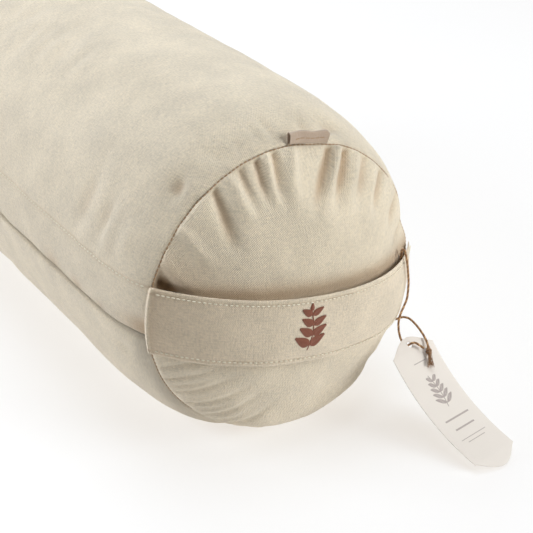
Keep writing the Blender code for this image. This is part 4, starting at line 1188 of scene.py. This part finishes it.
def make_filling(first, last):
    inset = CASE_INSET + CASE_CLOTH + 0.0030
    y = np.linspace(first + 0.003, last - 0.003, 90)
    tube = case_tube(y, inset)
    lumps = 0.0016 * soft_noise(tube[..., 0] + tube[..., 2], tube[..., 1], 0.030, 71)
    middle = np.array([0.0, 0.0, RING_CENTRE_Z])
    away = (tube - middle) * np.array([1.0, 0.0, 1.0])
    away /= np.linalg.norm(away, axis=-1, keepdims=True)
    tube = tube + away * (lumps - 0.0020)[..., None]
    tube[..., 2] = np.maximum(tube[..., 2], 0.0075)
    front = case_dome(tube[0], y[0], -1.0, END_BULGE - FILLING_DROP)
    rear = case_dome(tube[-1], y[-1], 1.0, END_BULGE - FILLING_DROP)[::-1]
    grid = np.concatenate([front, tube[1:-1], rear])
    rows, columns = grid.shape[:2]
    lids = [np.arange(columns)[::-1], np.arange(columns) + (rows - 1) * columns]
    item = mesh_object("fibre_filling", grid.reshape(-1, 3), quad_rows(rows, columns, True),
                       MATERIALS["fibre"], lids=lids, body="cover", slot="fibre")
    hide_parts("filling")


# ---- hang tag on its twine -------------------------------
TAG_TURNS = (("Z", 9.8), ("X", 31.1), ("Y", 3.2))      # in degrees
TAG_FOOT = Vector((0.0905, FRONT_Y - 0.1388, 0.0001))


def tag_frame():
    placed = Matrix.Translation(TAG_FOOT)
    for axis, degrees in TAG_TURNS:
        placed = placed @ Matrix.Rotation(math.radians(degrees), 4, axis)
    return np.array(placed)


TAG_FRAME = tag_frame()


def tag_place(x, y, z):
    """Points of the bowed card, from their places across, along and above the card."""
    x, y, z = np.broadcast_arrays(x, y, z)
    half_side = TAG_SIDE_LENGTH / 2
    t = np.abs(y - TAG_PEAK - half_side) / half_side
    rise = np.where(t < 1.0, t * t - 1.0, TAG_TIP_CURL * (t - 1.0))
    local = np.stack([x, y, z + TAG_BOW * rise, np.ones_like(x, dtype=float)], -1)
    return local @ TAG_FRAME[:3].T


def tag_edges(across, inset=0.0):
    """Lowest and highest place along the card at a distance across it."""
    s = np.minimum(np.abs(across) / (TAG_HALF_WIDTH - inset), 1.0)
    peak = (TAG_PEAK - inset * 0.2) * (1.0 - s ** 1.7) * (1.0 - 0.45 * s ** 3)
    return TAG_PEAK - peak + inset, TAG_PEAK + TAG_SIDE_LENGTH + peak - inset


def make_tag():
    """The card: a fine grid whose columns follow its pointed ends, with its hole and a worn edge."""
    across = TAG_HALF_WIDTH * np.linspace(-1.0, 1.0, 33)
    low, high = tag_edges(across)
    share = np.linspace(0.0, 1.0, 90)
    y = low[None] + (high - low)[None] * share[:, None]
    x = np.broadcast_to(across[None], y.shape)
    edge = np.minimum(np.minimum(y - low[None], high[None] - y), TAG_HALF_WIDTH - np.abs(x))
    soft = 0.00012 * (1.0 - smooth_step(edge, 0.0, 0.0012))
    outer = tag_place(x, y, TAG_CARD - soft)
    inner = tag_place(x, y, soft)
    uv = np.stack([x, y], -1)
    item = shell("tag_card", outer, inner, uv, MATERIALS["card"], slot="card")
    ring = np.arange(24) * 2.0 * math.pi / 24
    hole = [tag_place(TAG_HOLE_RADIUS * np.cos(ring), TAG_HOLE_AT + TAG_HOLE_RADIUS * np.sin(ring), z)
            for z in (-0.002, 0.003)]
    verts = np.concatenate(hole)
    lids = [np.arange(24)[::-1], np.arange(24) + 24]
    cutter = mesh_object("hole_cutter", verts, quad_rows(2, 24, True), MATERIALS["card"], lids=lids)
    cut = item.modifiers.new("hole", "BOOLEAN")
    cut.operation = "DIFFERENCE"
    cut.object = cutter
    graph = bpy.context.evaluated_depsgraph_get()
    with_hole = bpy.data.meshes.new_from_object(item.evaluated_get(graph))
    item.modifiers.clear()
    item.data = with_hole
    bpy.data.objects.remove(cutter, do_unlink=True)
    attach(item, "hang_tag")
    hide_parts("hang_tag")
    make_tag_print()


def ink_line(bundle, x, y, width):
    """A flat printed line on the card through the given places."""
    x, y = np.asarray(x, float), np.asarray(y, float)
    run = np.stack([np.gradient(x), np.gradient(y)], -1)
    run /= np.maximum(np.linalg.norm(run, axis=1, keepdims=True), 1e-9)
    side = np.stack([-run[:, 1], run[:, 0]], -1) * width / 2
    edges = [(x + side[:, 0], y + side[:, 1]), (x - side[:, 0], y - side[:, 1])]
    top = np.stack([tag_place(ex, ey, TAG_CARD + 0.00006) for ex, ey in edges], 1)
    bottom = np.stack([tag_place(ex, ey, TAG_CARD - 0.00004) for ex, ey in edges], 1)
    bundle.add(*shell_arrays(top, bottom))


def make_tag_print():
    """A drawn sprig and a few plain rules, in place of the printing."""
    bundle = Bundle()
    t = np.linspace(0.0, 1.0, 24)
    ink_line(bundle, 0.0022 * np.sin(t * math.pi), 0.056 + 0.026 * t, 0.0007)
    for k in range(5):
        for side in (-1.0, 1.0):
            root = 0.059 + 0.0046 * k
            size = 0.0086 - 0.0009 * k
            leaf_x = side * size * t + 0.0018
            for bow in np.linspace(-1.0, 1.0, 5):
                ink_line(bundle, leaf_x, root + 0.6 * size * t + bow * 0.0016 * np.sin(t * math.pi), 0.00055)
    for half, place, thick in ((0.0125, 0.0470, 0.0013), (0.0100, 0.0385, 0.0013), (0.0130, 0.0300, 0.0005),
                               (0.0090, 0.0268, 0.0005), (0.0060, 0.0930, 0.0006)):
        ink_line(bundle, np.linspace(-half, half, 16), np.full(16, place), thick)
    bundle.object("tag_print", MATERIALS["ink"], body="hang_tag", slot="card")


def make_twine_run(name, route):
    """One run of twisted twine and its path; its first strand is coloured lighter than the others, a painted
    highlight along the twist.
    """
    path = smooth_route(np.asarray(route) + np.array([0.0, FRONT_Y, 0.0]), 0.0005)
    bundle = Bundle()
    twisted_strands(bundle, path, TWINE_DIAMETER, TWINE_LAY)
    item = bundle.object(name, MATERIALS["twine"], slot="twine")
    item.data.materials.append(MATERIALS["twine_highlight_strand"])
    for face in item.data.polygons[:(len(path) - 1) * STRAND_SIDES]:
        face.material_index = 1
    return item, path


def make_twine():
    """One loop of twine round the handle, in two runs that meet under it, and the knot that closes it."""
    over, over_path = make_twine_run("twine_over", TWINE_OVER_ROUTE)
    back, back_path = make_twine_run("twine_return", TWINE_RETURN_ROUTE)
    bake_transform(over)
    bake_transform(back)
    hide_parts("twine_loop", "twine_long")
    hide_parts("twine_short")
    knot = make_knot()


KNOT_START, KNOT_END = np.array([0.0118, 0.0985]), np.array([0.0048, 0.0850])     # on the card
KNOT_LIFT = TAG_CARD + GAP + 0.0024
# Turns of the knot: place along it, radius, and how far the turn leans.
KNOT_TURNS = ((0.0012, 0.0015, 0.5), (0.0026, 0.0019, -0.4), (0.0041, 0.0017, 0.3))
FRAY_STRANDS = 34
FRAY_LENGTH = 0.0105


def knot_tube(bundle, along, off, height, radius, sides):
    """A tube on the card, from its places along the knot, beside it and above the card."""
    axis = (KNOT_END - KNOT_START) / np.linalg.norm(KNOT_END - KNOT_START)
    x = KNOT_START[0] + axis[0] * along - axis[1] * off
    y = KNOT_START[1] + axis[1] * along + axis[0] * off
    bundle.add(*tube_arrays(tag_place(x, y, height), radius, sides))


def make_knot():
    """An overhand knot and its frayed ends, lying on the card."""
    bundle = Bundle()
    turn = np.linspace(0.0, 2.0 * math.pi, 26)
    for place, radius, lean in KNOT_TURNS:
        along = place + lean * 0.001 * np.sin(turn)
        height = KNOT_LIFT + radius * 0.8 * np.sin(turn)
        knot_tube(bundle, along, radius * np.cos(turn), height, 0.00062, 7)
    knot_tube(bundle, np.linspace(-0.0006, 0.0056, 8), 0.0, KNOT_LIFT, 0.0012, 8)
    random = np.random.default_rng(81)
    t = np.linspace(0.0, 1.0, 9)
    for k in range(FRAY_STRANDS):
        spread = random.uniform(-1.0, 1.0)
        reach = FRAY_LENGTH * random.uniform(0.75, 1.05)
        off = spread * (0.0006 + 0.0022 * t ** 1.3) + 0.0004 * math.sin(k) * np.sin(t * 6.0)
        height = KNOT_LIFT + random.uniform(-0.6, 0.9) * 0.0016 * (1.0 - 0.4 * t)
        knot_tube(bundle, 0.0045 + reach * t, off, height, 0.00021 * (1.0 - 0.45 * t), 5)
    item = bundle.object("twine_tassel", MATERIALS["twine"], body="hang_tag", slot="twine")
    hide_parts("twine_knot")
    return item


# ---- floor, light and camera -----------------------------
def make_floor():
    bpy.ops.mesh.primitive_plane_add(size=12.0, location=(0.0, 0.0, -0.0002))
    floor = bpy.context.object
    floor.name = "floor"
    shade = Shade("floor", 0.6, specular=0.2)
    grain = shade.noise(shade.place("Object"), 0.4, 2.0)
    shade.shader.inputs["Emission Color"].default_value = (*FLOOR_GLOW[0], 1.0)
    shade.shader.inputs["Emission Strength"].default_value = FLOOR_GLOW[1]
    floor.data.materials.append(shade.finish(shade.colour(grain, FLOOR_COLOUR, tone(FLOOR_COLOUR, 1.01))))


FLOOR_COLOUR = (0.250, 0.285, 0.320)
FLOOR_GLOW = ((1.0, 0.937, 0.870), 0.705)
WORLD = ((1.0, 0.95, 0.88), 0.02)
LIGHT_TARGET = Vector((0.0, -0.1, 0.1))
# name, where it stands, its size, its colour and its power
LIGHTS = (
    ("right", (1.22, -1.55, 0.80), 1.1, (0.985, 1.0, 1.0), 29.5),
    ("left", (-1.6, 1.0, 0.95), 1.0, (0.97, 1.0, 1.045), 32.0),
    ("top", (0.2, 0.1, 2.2), 1.8, (0.95, 0.99, 1.04), 29.0),
    ("back", (0.3, 1.9, 1.2), 1.2, (0.95, 0.99, 1.04), 23.0),
)


def make_lights():
    world = bpy.context.scene.world or bpy.data.worlds.new("world")
    bpy.context.scene.world = world
    world.use_nodes = True
    sky = world.node_tree.nodes["Background"]
    sky.inputs["Color"].default_value = (*WORLD[0], 1.0)
    sky.inputs["Strength"].default_value = WORLD[1]
    for name, place, size, colour, power in LIGHTS:
        lamp = bpy.data.lights.new(name, "AREA")
        lamp.shape = "DISK"
        lamp.size = size
        lamp.energy = power
        lamp.color = colour
        item = bpy.data.objects.new(name, lamp)
        item.location = place
        item.rotation_euler = (LIGHT_TARGET - Vector(place)).to_track_quat("-Z", "Y").to_euler()
        bpy.context.scene.collection.objects.link(item)


CAMERA_LENS = 87.8
CAMERA_SHIFT = (-0.0079, 0.0250)
CAMERA_PLACE = (-0.4331, FRONT_Y - 0.6542, 0.5529)
CAMERA_HEADING, CAMERA_TILT = math.radians(-32.82), math.radians(29.50)


def make_camera():
    data = bpy.data.cameras.new("camera")
    data.lens = CAMERA_LENS
    data.sensor_width = 36.0
    data.shift_x, data.shift_y = CAMERA_SHIFT
    camera = bpy.data.objects.new("camera", data)
    camera.location = CAMERA_PLACE
    camera.rotation_euler = (math.pi / 2 - CAMERA_TILT, 0.0, CAMERA_HEADING)
    bpy.context.scene.collection.objects.link(camera)
    bpy.context.scene.camera = camera
    bpy.context.scene.view_settings.view_transform = "Standard"


def main():
    make_barrel()
    make_end("cover_end_front_cloth", "cover_end_front", True)
    make_end("cover_end_rear_cloth", "cover_end_rear", False)
    make_seam_stitches()
    make_flap()
    make_flap_topstitch()
    make_zip()
    make_strap()
    make_strap_stitching()
    make_sprig()
    make_label()
    make_case()
    make_tag()
    make_twine()
    make_floor()
    make_lights()
    make_camera()


main()
